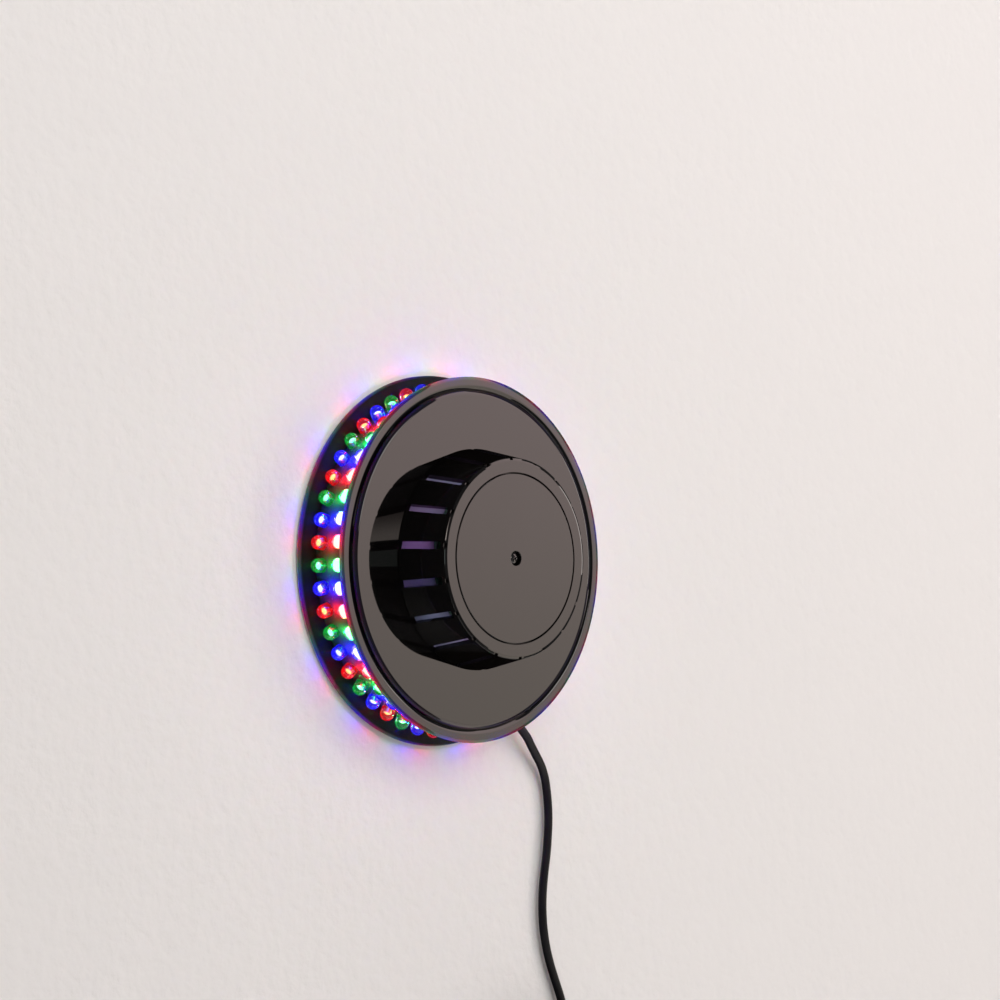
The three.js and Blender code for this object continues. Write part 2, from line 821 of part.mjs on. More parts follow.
// Flat ribbon from the LED board, along the back of the front disc and up through it, drawn from the side
function ribbonCable() {
  const half = ribbonThickness / 2;
  const inner = ribbonBend - ribbonThickness * (2 - Math.SQRT2);
  const level = frontBack - ribbonLevel;
  const foot = ledBoardDepth + boardThickness + gap;
  const end = driverBack - gap;
  const [far, near] = [ribbonFootCircle, ribbonCircle];
  const outline = [
    [far + half, foot],
    [far + half, level + half - ribbonBend],
    [far + half - ribbonBend, level + half],
    [near + half + inner, level + half],
    [near + half, level + half + inner],
    [near + half, end],
    [near - half, end],
    [near - half, level - half + ribbonBend],
    [near - half + ribbonBend, level - half],
    [far - half - inner, level - half],
    [far - half, level - half - inner],
    [far - half, foot],
  ];
  const shape = new THREE.Shape(outline.map(([r, z]) => new THREE.Vector2(r, z)));
  return plate(shape, -ribbonWidth / 2, ribbonWidth / 2).rotate([90, 0, 0]).rotate([0, 0, ribbonAngle]);
}

// Sleeve on the lead where it leaves: a straight tail, a head behind the drum and a tapered end outside
function strainRelief() {
  const sleeve = turned(
    [
      [0, reliefTail],
      [reliefTipRadius, reliefTail],
      [reliefRadius, drumInner - reliefHeadLength],
      [reliefRadius, drumRadius],
      [reliefTipRadius, reliefTip],
      [0, reliefTip],
    ],
    bossSides,
  );
  const headTop = drumInner - gap;
  const head = block(reliefHeadHeight, reliefHeadWidth, headTop - reliefHeadLength, headTop);
  return pointOut(sleeve.add(head), leadAngle, rearRowDepth);
}

function leadClamp() {
  const bottom = clampBossTop + gap;
  const bar = block(clampWidth, clampLength, bottom, bottom + clampThickness, ...clampCentre, leadAngle);
  const holes = clampScrewPlaces.map(([x, y]) =>
    rod(clampScrewShank + gap, bottom - overrun, bottom + clampThickness + overrun, screwSides, x, y),
  );
  return cut(bar, holes);
}

const leadStart = alongLead(reliefTip + gap, rearRowDepth);
const coilBase = coilFoot + leadRadius;
const coilStart = [coilX + coilOuter, coilY, coilBase];

function cordLead() {
  const end = [coilStart[0], coilStart[1] + gap, coilBase];
  const straight = [coilStart[0], coilStart[1] + 4 * leadRadius, coilBase];
  return tube([leadStart, ...leadRoute, straight, end], leadRadius, leadSides, leadStep);
}

// Middle of the coil's tube after a number of turns: it spirals in and out, and climbs where it reverses
function coilPoint(turns) {
  const layer = Math.min(Math.floor(turns / coilTurnsPerLayer), coilLayers - 1);
  const within = turns - layer * coilTurnsPerLayer;
  const inwards = layer % 2 === 0 ? within : coilTurnsPerLayer - within;
  const radius = coilOuter - coilPitch * inwards;
  const nearest = Math.round(turns / coilTurnsPerLayer);
  const past = turns - nearest * coilTurnsPerLayer;
  const reverses = nearest > 0 && nearest < coilLayers;
  const climb = reverses ? THREE.MathUtils.smoothstep(past, -coilClimbTurns / 2, coilClimbTurns / 2) : 0;
  const level = Math.min(Math.max(nearest - 1, 0) + climb, coilLayers - 1);
  const angle = -turn * turns;
  return new THREE.Vector3(
    coilX + radius * Math.cos(angle),
    coilY + radius * Math.sin(angle),
    coilBase + coilRise * level,
  );
}

const coilRings = Math.round(coilTurns * coilSteps);
const coilPoints = Array.from({ length: coilRings + 1 }, (_, k) => coilPoint((k * coilTurns) / coilRings));

// The least distance between the surfaces of turns that lie beside or on each other
function coilLeastGap() {
  let least = Infinity;
  for (let i = 0; i < coilPoints.length; i++) {
    for (let j = i + coilSteps / 2; j < coilPoints.length; j++) {
      least = Math.min(least, coilPoints[i].distanceTo(coilPoints[j]));
    }
  }
  return least - 2 * leadRadius;
}

function cordCoil() {
  const positions = [];
  const up = new THREE.Vector3(0, 0, 1);
  const last = coilPoints.length - 1;
  coilPoints.forEach((point, k) => {
    const before = coilPoints[Math.max(k - 1, 0)];
    const after = coilPoints[Math.min(k + 1, last)];
    const along = after.clone().sub(before);
    if (k === 0 || k === last) {
      along.set(0, -1, 0).applyAxisAngle(up, (-turn * k * coilTurns) / coilRings);
    }
    along.normalize();
    const across = new THREE.Vector3().crossVectors(along, up).normalize();
    const rise = new THREE.Vector3().crossVectors(across, along);
    for (let side = 0; side < coilSides; side++) {
      const [u, v] = polar(leadRadius, (side * 360) / coilSides);
      positions.push(...point.clone().addScaledVector(across, u).addScaledVector(rise, v).toArray());
    }
  });
  const faces = [];
  for (let k = 0; k < last; k++) {
    for (let side = 0; side < coilSides; side++) {
      const a = k * coilSides + side;
      const b = k * coilSides + ((side + 1) % coilSides);
      faces.push(a, a + coilSides, b, b, a + coilSides, b + coilSides);
    }
  }
  for (let side = 1; side < coilSides - 1; side++) {
    const end = last * coilSides;
    faces.push(0, side, side + 1, end, end + side + 1, end + side);
  }
  const geometry = new THREE.BufferGeometry();
  geometry.setAttribute("position", new THREE.Float32BufferAttribute(positions, 3));
  geometry.setIndex(faces);
  return solid(geometry);
}

// A strap round all the turns at one place
function cordTie() {
  const inner = coilOuter - coilPitch * coilTurnsPerLayer - leadRadius - tieSlack;
  const outer = coilOuter + leadRadius + tieSlack;
  const bottom = coilFoot - tieSlack;
  const top = coilBase + coilRise * (coilLayers - 1) + leadRadius + tieSlack;
  const frame = block(
    outer - inner + 2 * tieThickness,
    tieWidth,
    bottom - tieThickness,
    top + tieThickness,
    (inner + outer) / 2,
  );
  const inside = block(outer - inner, tieWidth + 2 * overrun, bottom, top, (inner + outer) / 2);
  return frame.subtract(inside).rotate([0, 0, tieAngle]).translate([coilX, coilY, 0]);
}

const coilEnd = coilPoints[coilPoints.length - 1];
const tailStart = [coilEnd.x - gap, coilEnd.y, coilEnd.z];
const tailPoints = tailRoute.map(([x, y, z]) => [coilEnd.x + x, coilEnd.y + y, coilEnd.z + z]);
const tailEnd = [
  tailPoints[tailPoints.length - 1][0] - 2 * leadRadius,
  coilEnd.y,
  plugLift + plugThickness / 2,
];

const cordTail = () => tube([tailStart, ...tailPoints, tailEnd], leadRadius, leadSides, leadStep / 2);

// Plug: a flat body with slanting shoulders and a tapered sleeve where the lead enters, pins pointing to -x
const plugBack = tailEnd[0] - gap - plugReliefLength;
const plugFace = plugBack - plugLength;

function plugBody() {
  const outline = new THREE.Shape();
  const [half, neck] = [plugWidth / 2, plugNeckWidth / 2];
  outline.moveTo(plugBack, coilEnd.y - neck);
  outline.lineTo(plugBack, coilEnd.y + neck);
  outline.lineTo(plugBack - plugShoulder, coilEnd.y + half);
  outline.lineTo(plugFace + plugCorner, coilEnd.y + half);
  outline.lineTo(plugFace, coilEnd.y + half - plugCorner);
  outline.lineTo(plugFace, coilEnd.y - half + plugCorner);
  outline.lineTo(plugFace + plugCorner, coilEnd.y - half);
  outline.lineTo(plugBack - plugShoulder, coilEnd.y - half);
  const body = plate(outline, plugLift, plugLift + plugThickness);
  const sleeve = turned(
    [
      [0, -bury],
      [plugReliefRadius, -bury],
      [plugReliefTip, plugReliefLength],
      [0, plugReliefLength],
    ],
    bossSides,
  )
    .rotate([0, 90, 0])
    .translate([plugBack, coilEnd.y, tailEnd[2]]);
  const sockets = [-1, 1].map((side) =>
    rod(pinRadius + gap, -overrun, pinSocketDepth, bossSides)
      .rotate([0, 90, 0])
      .translate([plugFace, coilEnd.y + (side * pinSpacing) / 2, tailEnd[2]]),
  );
  return cut(body.add(sleeve), sockets);
}

function plugPin(side) {
  const root = gap - pinSocketDepth;
  const pin = turned(
    [
      [0, root],
      [pinRadius, root],
      [pinRadius, pinSleeve],
      [pinRadius - pinSleeveStep, pinSleeve],
      [pinRadius - pinSleeveStep, pinLength - pinTipRadius],
      [pinTipRadius, pinLength],
      [0, pinLength],
    ],
    bossSides,
  );
  return pin.rotate([0, -90, 0]).translate([plugFace, coilEnd.y + (side * pinSpacing) / 2, tailEnd[2]]);
}

// Finishes
const finish = (color, roughness, metalness = 0) =>
  new THREE.MeshStandardMaterial({ color, roughness, metalness });
const blackGloss = finish(0x15130f, 0.12);
const blackSatin = finish(0x17171a, 0.45);
const blackCable = finish(0x101012, 0.5);
const steel = finish(0xb9bcc0, 0.3, 1);
const board = finish(0x1f5a34, 0.6);
const capsule = finish(0x8e9196, 0.35, 1);
const chip = finish(0x202022, 0.55);
const filmBox = finish(0xb0451f, 0.5);
const canSleeve = finish(0x22324f, 0.4);
const ribbonGrey = finish(0x9a9a9c, 0.6);
const ledFinish = {
  red: finish(0xe0262c, 0.1),
  green: finish(0x20c84a, 0.1),
  blue: finish(0x2b3ff0, 0.1),
};

const lamp = new THREE.Group();

function add(group, name, shape, material) {
  const mesh = new THREE.Mesh(geometryOf(shape), material);
  mesh.name = name;
  group.add(mesh);
}

function section(...pieces) {
  const group = new THREE.Group();
  pieces.forEach(([name, shape, material]) => add(group, name, shape, material));
  lamp.add(group);
  return group;
}

section(
  ["rear_cover", rearCover(), blackGloss],
  ["mode_switch_case", modeSwitchCase(), chip],
  ["mode_slider", modeSlider(), blackSatin],
  ["front_cover", frontCover(), blackGloss],
  ["led_drum", ledDrum(), blackSatin],
  ["hub_housing", hubHousing(), blackGloss],
  ["hub_cap", hubCap(), blackGloss],
);

const capScrew = screw(capScrewHead, capScrewHeadHeight, capScrewShank, capScrewLength, capScrewSides);
const capScrewFront = capRecessFloor + gap + capScrewHeadHeight;
section(["hub_cap_screw", flipped(capScrew, capScrewFront), steel]);

coverScrewPlaces.forEach(([x, y], k) => {
  const back = counterboreDepth - gap - coverScrewHeadHeight;
  const one = screw(coverScrewHead, coverScrewHeadHeight, coverScrewShank, coverScrewLength);
  section(["cover_screw_" + (k + 1), one.translate([x, y, back]), steel]);
});

hubScrewPlaces.forEach(([x, y], k) => {
  const back = frontBack - gap - hubScrewHeadHeight;
  const one = screw(hubScrewHead, hubScrewHeadHeight, hubScrewShank, hubScrewLength);
  section(["hub_screw_" + (k + 1), one.translate([x, y, back]), steel]);
});

ledColours.forEach((name, colour) => {
  section(
    ["rear_leds_" + name, ledString(colour, rearRowDepth, leadPlace), ledFinish[name]],
    ["front_leds_" + name, ledString(colour, frontRowDepth, -1), ledFinish[name]],
  );
});

section(
  ["led_board", ledBoard(), board],
  ["driver_board", driverBoard(), board],
  ["film_capacitor", filmCapacitorBody(), filmBox],
  ["smoothing_capacitor", smoothingCapacitorBody(), canSleeve],
  ["controller_chip", controllerChipBody(), chip],
  ["bridge_rectifier", bridgeRectifierBody(), chip],
  ["microphone", microphoneCapsule(), capsule],
  ...ledColours.map((name, k) => [name + "_transistor", channelTransistor(k), chip]),
  ["ribbon_cable", ribbonCable(), ribbonGrey],
);

section(
  ["strain_relief", strainRelief(), blackCable],
  ["inner_lead", innerLead(), blackCable],
  ["lead_clamp", leadClamp(), blackSatin],
);

clampScrewPlaces.forEach(([x, y], k) => {
  const front = clampBossTop + gap + clampThickness + gap + clampScrewHeadHeight;
  const one = screw(clampScrewHead, clampScrewHeadHeight, clampScrewShank, clampScrewLength);
  section(["clamp_screw_" + (k + 1), flipped(one, front).translate([x, y, 0]), steel]);
});

section(
  ["cord_lead", cordLead(), blackCable],
  ["cord_coil", cordCoil(), blackCable],
  ["cord_tie", cordTie(), blackSatin],
  ["cord_tail", cordTail(), blackCable],
  ["plug_body", plugBody(), blackSatin],
  ["plug_pin_1", plugPin(-1), steel],
  ["plug_pin_2", plugPin(1), steel],
);

console.log("least gap between the turns of the coil: " + coilLeastGap().toFixed(2) + " mm");

lamp.rotation.x = Math.PI / 2;
export default lamp;
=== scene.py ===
"""The looks of a round disco light on a wall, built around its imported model.

Sizes are in millimetres in the lamp's own axes: x to the right, y up, and z out of the wall.
Each piece is turned and scaled once into the model's frame, where +Z is up, the wall is the plane
y = 0 and lengths are in metres.
"""

import json
import math

import bmesh
import bpy
from mathutils import Matrix, Vector

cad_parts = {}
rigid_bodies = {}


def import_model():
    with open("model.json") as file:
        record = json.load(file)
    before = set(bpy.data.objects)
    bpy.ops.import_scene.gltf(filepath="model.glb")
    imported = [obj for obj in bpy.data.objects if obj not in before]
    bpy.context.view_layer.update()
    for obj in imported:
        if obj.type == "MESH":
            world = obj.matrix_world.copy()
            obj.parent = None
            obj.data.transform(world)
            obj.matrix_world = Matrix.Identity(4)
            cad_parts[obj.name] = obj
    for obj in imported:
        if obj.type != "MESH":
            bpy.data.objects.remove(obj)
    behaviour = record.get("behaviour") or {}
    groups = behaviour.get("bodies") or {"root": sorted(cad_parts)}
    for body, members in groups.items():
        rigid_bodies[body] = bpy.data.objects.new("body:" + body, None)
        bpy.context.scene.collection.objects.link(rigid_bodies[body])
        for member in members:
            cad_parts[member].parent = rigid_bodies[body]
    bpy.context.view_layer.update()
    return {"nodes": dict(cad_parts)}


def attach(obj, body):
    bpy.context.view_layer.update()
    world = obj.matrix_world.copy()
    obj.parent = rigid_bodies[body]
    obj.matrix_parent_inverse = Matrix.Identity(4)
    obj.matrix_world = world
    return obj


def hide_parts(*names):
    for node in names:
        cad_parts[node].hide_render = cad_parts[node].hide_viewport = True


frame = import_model()
nodes = frame["nodes"]

MM = 0.001
TO_FRAME = Matrix.Rotation(math.radians(90), 4, "X") @ Matrix.Scale(MM, 4)

# Sizes of the lamp, as in its CAD source
GAP = 0.3
REAR_RADIUS, REAR_THICKNESS, REAR_EDGE, REAR_BACK_EDGE = 66.5, 2.0, 0.8, 0.3
FRONT_RADIUS, FRONT_THICKNESS, FRONT_BACK_EDGE = 65.0, 2.4, 0.3
DISC_DEPTH, RING_DROP = 22.0, 0.8
DRUM_RADIUS, DRUM_WALL, SEAT_DEPTH = 59.4, 3.0, 0.6
LEDS_PER_ROW, LED_PHASE = 48, 2.8
LED_COLOURS = ("green", "blue", "red")
LED_RADIUS, LED_LENGTH, LED_TIP, LED_HOLE = 2.5, 8.6, 63.7, 2.65
ROWS = {"rear": 5.0, "front": 15.6}
LEAD_PLACE = 40
HUB_FRONT, HUB_FOOT = 41.0, 22.3
HUB_BASE_RADIUS, HUB_FRONT_RADIUS, HUB_PHASE, HUB_WALL = 39.3, 35.3, 13.75, 2.0
HUB_SLOTS, SLOT_WIDTH, SLOT_TO = 18, 2.7, 38.9
NICK_WIDTH, NICK_DEPTH = 1.5, 0.8
CAP_RADIUS, CAP_THICKNESS, CAP_SEAM = 29.8, 2.2, 0.5
LEDGE_INNER, LEDGE_THICKNESS = 26.7, 2.0
BOSS_RADIUS, BOSS_BACK = 5.0, 37.0
POST_RADIUS, POST_FRONT = 3.6, 36.7
RECESS_RADIUS, RECESS_FLOOR, RECESS_HOLE = 2.55, 39.1, 1.4
HUB_SCREW_CIRCLE, HUB_SCREW_PHASE, HUB_BOSS_RADIUS = 31.2, 83.75, 3.0
COVER_SCREW_CIRCLE, COVER_SCREW_PHASE = 34.0, 30.0
COLUMN_RADIUS, COLUMN_TOP, COUNTERBORE_RADIUS, COUNTERBORE_DEPTH, COLUMN_HOLE = 4.6, 6.6, 3.4, 5.0, 1.8
KEYHOLE_X, KEYHOLE_Y, KEYHOLE_ENTRY, KEYHOLE_SLOT, KEYHOLE_TRAVEL = 20.0, 8.0, 4.0, 2.2, 7.0
SWITCH_X, SWITCH_Y, SWITCH_WINDOW = -20.0, -14.0, (6.6, 3.2)
SLIDER_X = -21.5
SLIDER_BASE, SLIDER_NUB = (6.0, 4.0, 2.0), (3.0, 2.6)
RELIEF_TAIL, RELIEF_TIP, RELIEF_RADIUS, RELIEF_TIP_RADIUS = 46.2, 66.2, 2.5, 2.0
RELIEF_NECK, RELIEF_COLLAR, RELIEF_HEAD = 54.4, 0.6, (5.0, 8.2, 2.0)
LEAD_RADIUS = 1.6
LEAD_ANGLE = LED_PHASE + LEAD_PLACE * 360 / LEDS_PER_ROW

# Route of the lead outside, as in the CAD source
LEAD_ROUTE = [
    (37.2, -57.4, 5.0), (39.0, -59.6, 5.0), (41.4, -62.0, 4.9), (44.3, -64.7, 4.6), (46.7, -67.4, 4.1),
    (50.1, -71.1, 3.4), (53.5, -74.9, 2.7), (55.8, -78.7, 2.2), (57.1, -82.4, 1.9), (58.1, -88.9, 1.9),
    (58.4, -95.4, 1.9), (58.1, -101.0, 1.9), (57.6, -106.5, 1.9), (56.3, -114.2, 1.9), (55.3, -122.0, 1.9),
    (55.2, -130.4, 1.9), (56.2, -138.2, 1.9), (58.5, -146.5, 1.9), (61.8, -154.4, 1.9), (65.0, -162.1, 2.1),
    (66.8, -170.0, 2.6), (67.2, -178.0, 3.1),
]
COIL_X, COIL_Y, COIL_BASE = 45.4, -190.0, 3.2
COIL_OUTER, COIL_PITCH, COIL_RISE = 21.8, 3.72, 3.68
COIL_LAYERS, COIL_TURNS_PER_LAYER, COIL_CLIMB_TURNS = 4, 1.8125, 0.5
COIL_STEPS = 32
TAIL_ROUTE = [
    (-6.0, 0.0, 0.0), (-12.0, 0.0, -0.3), (-17.5, 0.0, -1.7), (-22.5, 0.0, -4.0), (-27.5, 0.0, -5.9),
    (-31.0, 0.0, -6.6),
]
TIE_THICKNESS, TIE_WIDTH, TIE_SLACK, TIE_CORNER = 0.8, 6.0, 0.7, 2.4
PLUG_LENGTH, PLUG_WIDTH, PLUG_NECK, PLUG_THICKNESS = 32.0, 35.3, 14.0, 13.7
PLUG_CORNER, PLUG_SHOULDER, PLUG_LIFT = 4.0, 13.0, 0.3
PLUG_RELIEF_LENGTH, PLUG_RELIEF_RADIUS, PLUG_RELIEF_TIP = 13.0, 3.4, 2.3
PIN_SPACING, PIN_RADIUS, PIN_LENGTH, PIN_SLEEVE, PIN_SOCKET = 18.6, 2.0, 19.0, 10.0, 3.0
PLUG_MIDDLE = PLUG_LIFT + PLUG_THICKNESS / 2

# Shapes that the CAD source has plainer. An edge's points are (in from the radius, back from the face)
GROOVE_FLOOR, GROOVE_HALF_WIDTH = (60.25, 20.5), 0.5
SHOULDER_WIDTH, SHOULDER_DROP, SHOULDER_STEPS = 1.4, 0.33, 7
FRONT_EDGE = [(1.0, 0.0), (0.6, 0.06), (0.0, 0.226)]
HUB_EDGE = [(0.0, 0.334), (0.2, 0.199), (0.7, 0.06), (1.1, 0.0)]
COVERED_RADIUS = 37.6
LED_FLANGE, FLANGE_HEIGHT = 2.9, 1.0
CUP_RADII = {"rear": 1.0, "front": 1.8}
CUP_DEPTH, CUP_HEIGHT, CUP_LIP, CUP_FLOOR = 2.7, 1.3, 0.2, 0.6
LEG_WIDTH, LEG_LENGTH, LEG_X = 0.5, 1.6, 1.27
PLUG_UPRIGHT_ROUND, PLUG_EDGE_ROUND = 1.6, 1.5
GRIPS, GRIP_SIZE, GRIP_START, GRIP_PITCH = 4, (1.2, 12.0, 0.8), 2.0, 2.6
SLEEVE_RIBS, SLEEVE_SEAT, RIB_DEPTH = 5, 2.0, 0.55
SLEEVE_STEP, PIN_END_ROUND = 0.15, 1.2
CORD_IN_RELIEF, CORD_IN_PLUG = 6.0, 4.0

# How finely round things are turned
DISC_STEPS, HUB_STEPS, SMALL_STEPS, LED_STEPS, CUP_STEPS, SCREW_STEPS = 192, 144, 48, 24, 16, 32

# The camera, at the photograph's place: its sensor and lens in millimetres, the rest in metres
SENSOR_WIDTH, LENS, NEAR, FAR = 36, 108, 0.05, 20
CAMERA_PLACE = (-0.76170, -0.76563, -0.02889)
CAMERA_RIGHT = (0.69315027, -0.72079311, 0.0)
CAMERA_UP = (-0.03382834, -0.03253101, 0.99889808)

# The room and its light, in metres and watts. The glow in the hub is placed in the lamp's millimetres
WALL_PAINT = (0.78, 0.775, 0.77)
STAGE_REACH, STAGE_MIDDLE, WALL_GAP, CARD_OUT, FLOOR_HEIGHT = 2.5, 1.6, 0.0006, 0.0004, -0.9
LIGHT_DISTANCE, LIGHT_HEIGHT = 1.34, 0.06
GLOW_SIZE, HUB_GLOW, HUB_GLOW_SIZE, HUB_GLOW_PLACE = 0.0008, 0.0048, 0.002, (31.0, 30.0)
SKY_COLOUR, SKY_LIGHT, SKY_SEEN = (0.8, 0.8, 0.82, 1), 0.02, 0.16


def polar(radius, degrees):
    """The point of the lamp's plane at a radius and an angle."""
    return radius * math.cos(math.radians(degrees)), radius * math.sin(math.radians(degrees))


def turned(degrees, axis):
    """A turn about an axis through the origin."""
    return Matrix.Rotation(math.radians(degrees), 4, axis)


def shown(made):
    """Puts an object into the scene."""
    bpy.context.scene.collection.objects.link(made)


def led_angle(place):
    return LED_PHASE + place * 360 / LEDS_PER_ROW


# Camera

def make_camera():
    """The camera, before the lamp and to its left, a little below its middle."""
    data = bpy.data.cameras.new("camera")
    data.sensor_width, data.lens = SENSOR_WIDTH, LENS
    data.clip_start, data.clip_end = NEAR, FAR
    camera = bpy.data.objects.new("camera", data)
    shown(camera)
    right, up = Vector(CAMERA_RIGHT), Vector(CAMERA_UP)
    turn = Matrix((right, up, right.cross(up))).transposed()
    camera.matrix_world = Matrix.Translation(CAMERA_PLACE) @ turn.to_4x4()
    bpy.context.scene.camera = camera


# Making meshes

def rounded(points, closed, support=0.05, steps=5):
    """A profile whose corners (r, z, fillet) become arcs, with a point just outside both of their ends."""
    done = []
    count = len(points)
    for k, point in enumerate(points):
        corner = Vector(point[:2])
        fillet = point[2] if len(point) > 2 else 0
        if not fillet or (not closed and k in (0, count - 1)):
            done.append(corner)
            continue
        before = (Vector(points[k - 1][:2]) - corner).normalized()
        after = (Vector(points[(k + 1) % count][:2]) - corner).normalized()
        half = before.angle(after) / 2
        reach = fillet / math.tan(half)
        centre = corner + (before + after).normalized() * (fillet / math.sin(half))
        start = corner + before * reach - centre
        end = corner + after * reach - centre
        done.append(centre + start + before * support)
        spokes = [start.slerp(end, step / steps).normalized() for step in range(steps + 1)]
        done.extend(centre + spoke * fillet for spoke in spokes)
        done.append(centre + end + after * support)
    return [(point.x, point.y) for point in done]


def spun(profile, steps, closed=False, phase=0.0):
    """A profile of (radius, z) points turned about the z axis."""
    bm = bmesh.new()
    verts = [bm.verts.new((*polar(radius, phase), z)) for radius, z in profile]
    pairs = list(zip(verts, verts[1:]))
    if closed:
        pairs.append((verts[-1], verts[0]))
    edges = [bm.edges.new(pair) for pair in pairs]
    bmesh.ops.spin(
        bm, geom=verts + edges, cent=(0, 0, 0), axis=(0, 0, 1), angle=math.tau, steps=steps,
        use_merge=True,
    )
    bmesh.ops.remove_doubles(bm, verts=bm.verts, dist=1e-4)
    bmesh.ops.recalc_face_normals(bm, faces=bm.faces)
    return bm


def rod(radius, low, high, x=0.0, y=0.0, steps=SMALL_STEPS):
    bm = bmesh.new()
    place = Matrix.Translation((x, y, (low + high) / 2))
    bmesh.ops.create_cone(
        bm, cap_ends=True, segments=steps, radius1=radius, radius2=radius, depth=high - low, matrix=place
    )
    return bm


def block(size, centre, degrees=0.0):
    bm = bmesh.new()
    turn = turned(degrees, "Z")
    place = Matrix.Translation(centre) @ turn @ Matrix.Diagonal((*size, 1))
    bmesh.ops.create_cube(bm, size=1, matrix=place)
    return bm


def merged(pieces):
    """Several bmeshes as one, each freed."""
    whole = bmesh.new()
    for piece in pieces:
        mesh = bpy.data.meshes.new("part")
        piece.to_mesh(mesh)
        piece.free()
        whole.from_mesh(mesh)
        bpy.data.meshes.remove(mesh)
    return whole


def point_out(bm, degrees, z):
    """Turns a shape made along z to point out of the drum at an angle, at a distance from the wall."""
    turn = turned(degrees, "Z") @ turned(90, "Y")
    bm.transform(Matrix.Translation((0, 0, z)) @ turn)
    return bm


def loose(bm, name):
    mesh = bpy.data.meshes.new(name)
    bm.to_mesh(mesh)
    bm.free()
    return bpy.data.objects.new(name, mesh)


def carved(bm, cutters):
    """The shape with the cutters taken away from it."""
    body, tool = loose(bm, "body"), loose(merged(cutters), "tool")
    shown(body)
    shown(tool)
    cut = body.modifiers.new("cut", "BOOLEAN")
    cut.operation, cut.solver, cut.use_self, cut.object = "DIFFERENCE", "EXACT", True, tool
    result = bmesh.new()
    result.from_object(body, bpy.context.evaluated_depsgraph_get())
    for used in (body, tool):
        mesh = used.data
        bpy.data.objects.remove(used)
        bpy.data.meshes.remove(mesh)
    bmesh.ops.remove_doubles(result, verts=result.verts, dist=1e-4)
    return result


def edges_along(bm, axis):
    """The edges that run along x, y or z, given as 0, 1 or 2."""
    return [e for e in bm.edges if abs((e.verts[0].co - e.verts[1].co).normalized()[axis]) > 0.9]


def bevelled(bm, edges, width, segments, clamped=False):
    bmesh.ops.bevel(
        bm, geom=edges, offset=width, segments=segments, profile=0.5, affect="EDGES", material=-1,
        clamp_overlap=clamped,
    )
    return bm


def soften(bm, width, least_degrees, segments=2, keep=lambda edge: True):
    """Rounds the edges that are sharper than an angle."""
    bmesh.ops.dissolve_limit(
        bm, angle_limit=math.radians(0.2), use_dissolve_boundaries=False, verts=bm.verts,
        edges=bm.edges,
    )
    least = math.radians(least_degrees)
    edges = [e for e in bm.edges if len(e.link_faces) == 2 and e.calc_face_angle() > least and keep(e)]
    return bevelled(bm, edges, width, segments, True)


def piece(bm, name, material, *stands_for, body="lamp", slot=None, smooth=35.0):
    """A finished piece of the lamp from a shape in the lamp's axes."""
    bm.transform(TO_FRAME)
    mesh = bpy.data.meshes.new(name)
    bm.to_mesh(mesh)
    bm.free()
    mesh.shade_smooth()
    mesh.set_sharp_from_angle(angle=math.radians(smooth))
    made = bpy.data.objects.new(name, mesh)
    shown(made)
    for one in material if isinstance(material, (list, tuple)) else [material]:
        mesh.materials.append(one)
    weighted = made.modifiers.new("flat_faces", "WEIGHTED_NORMAL")
    weighted.keep_sharp, weighted.weight = True, 80
    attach(made, body)
    if stands_for:
        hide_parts(*stands_for)
    return made


# Materials

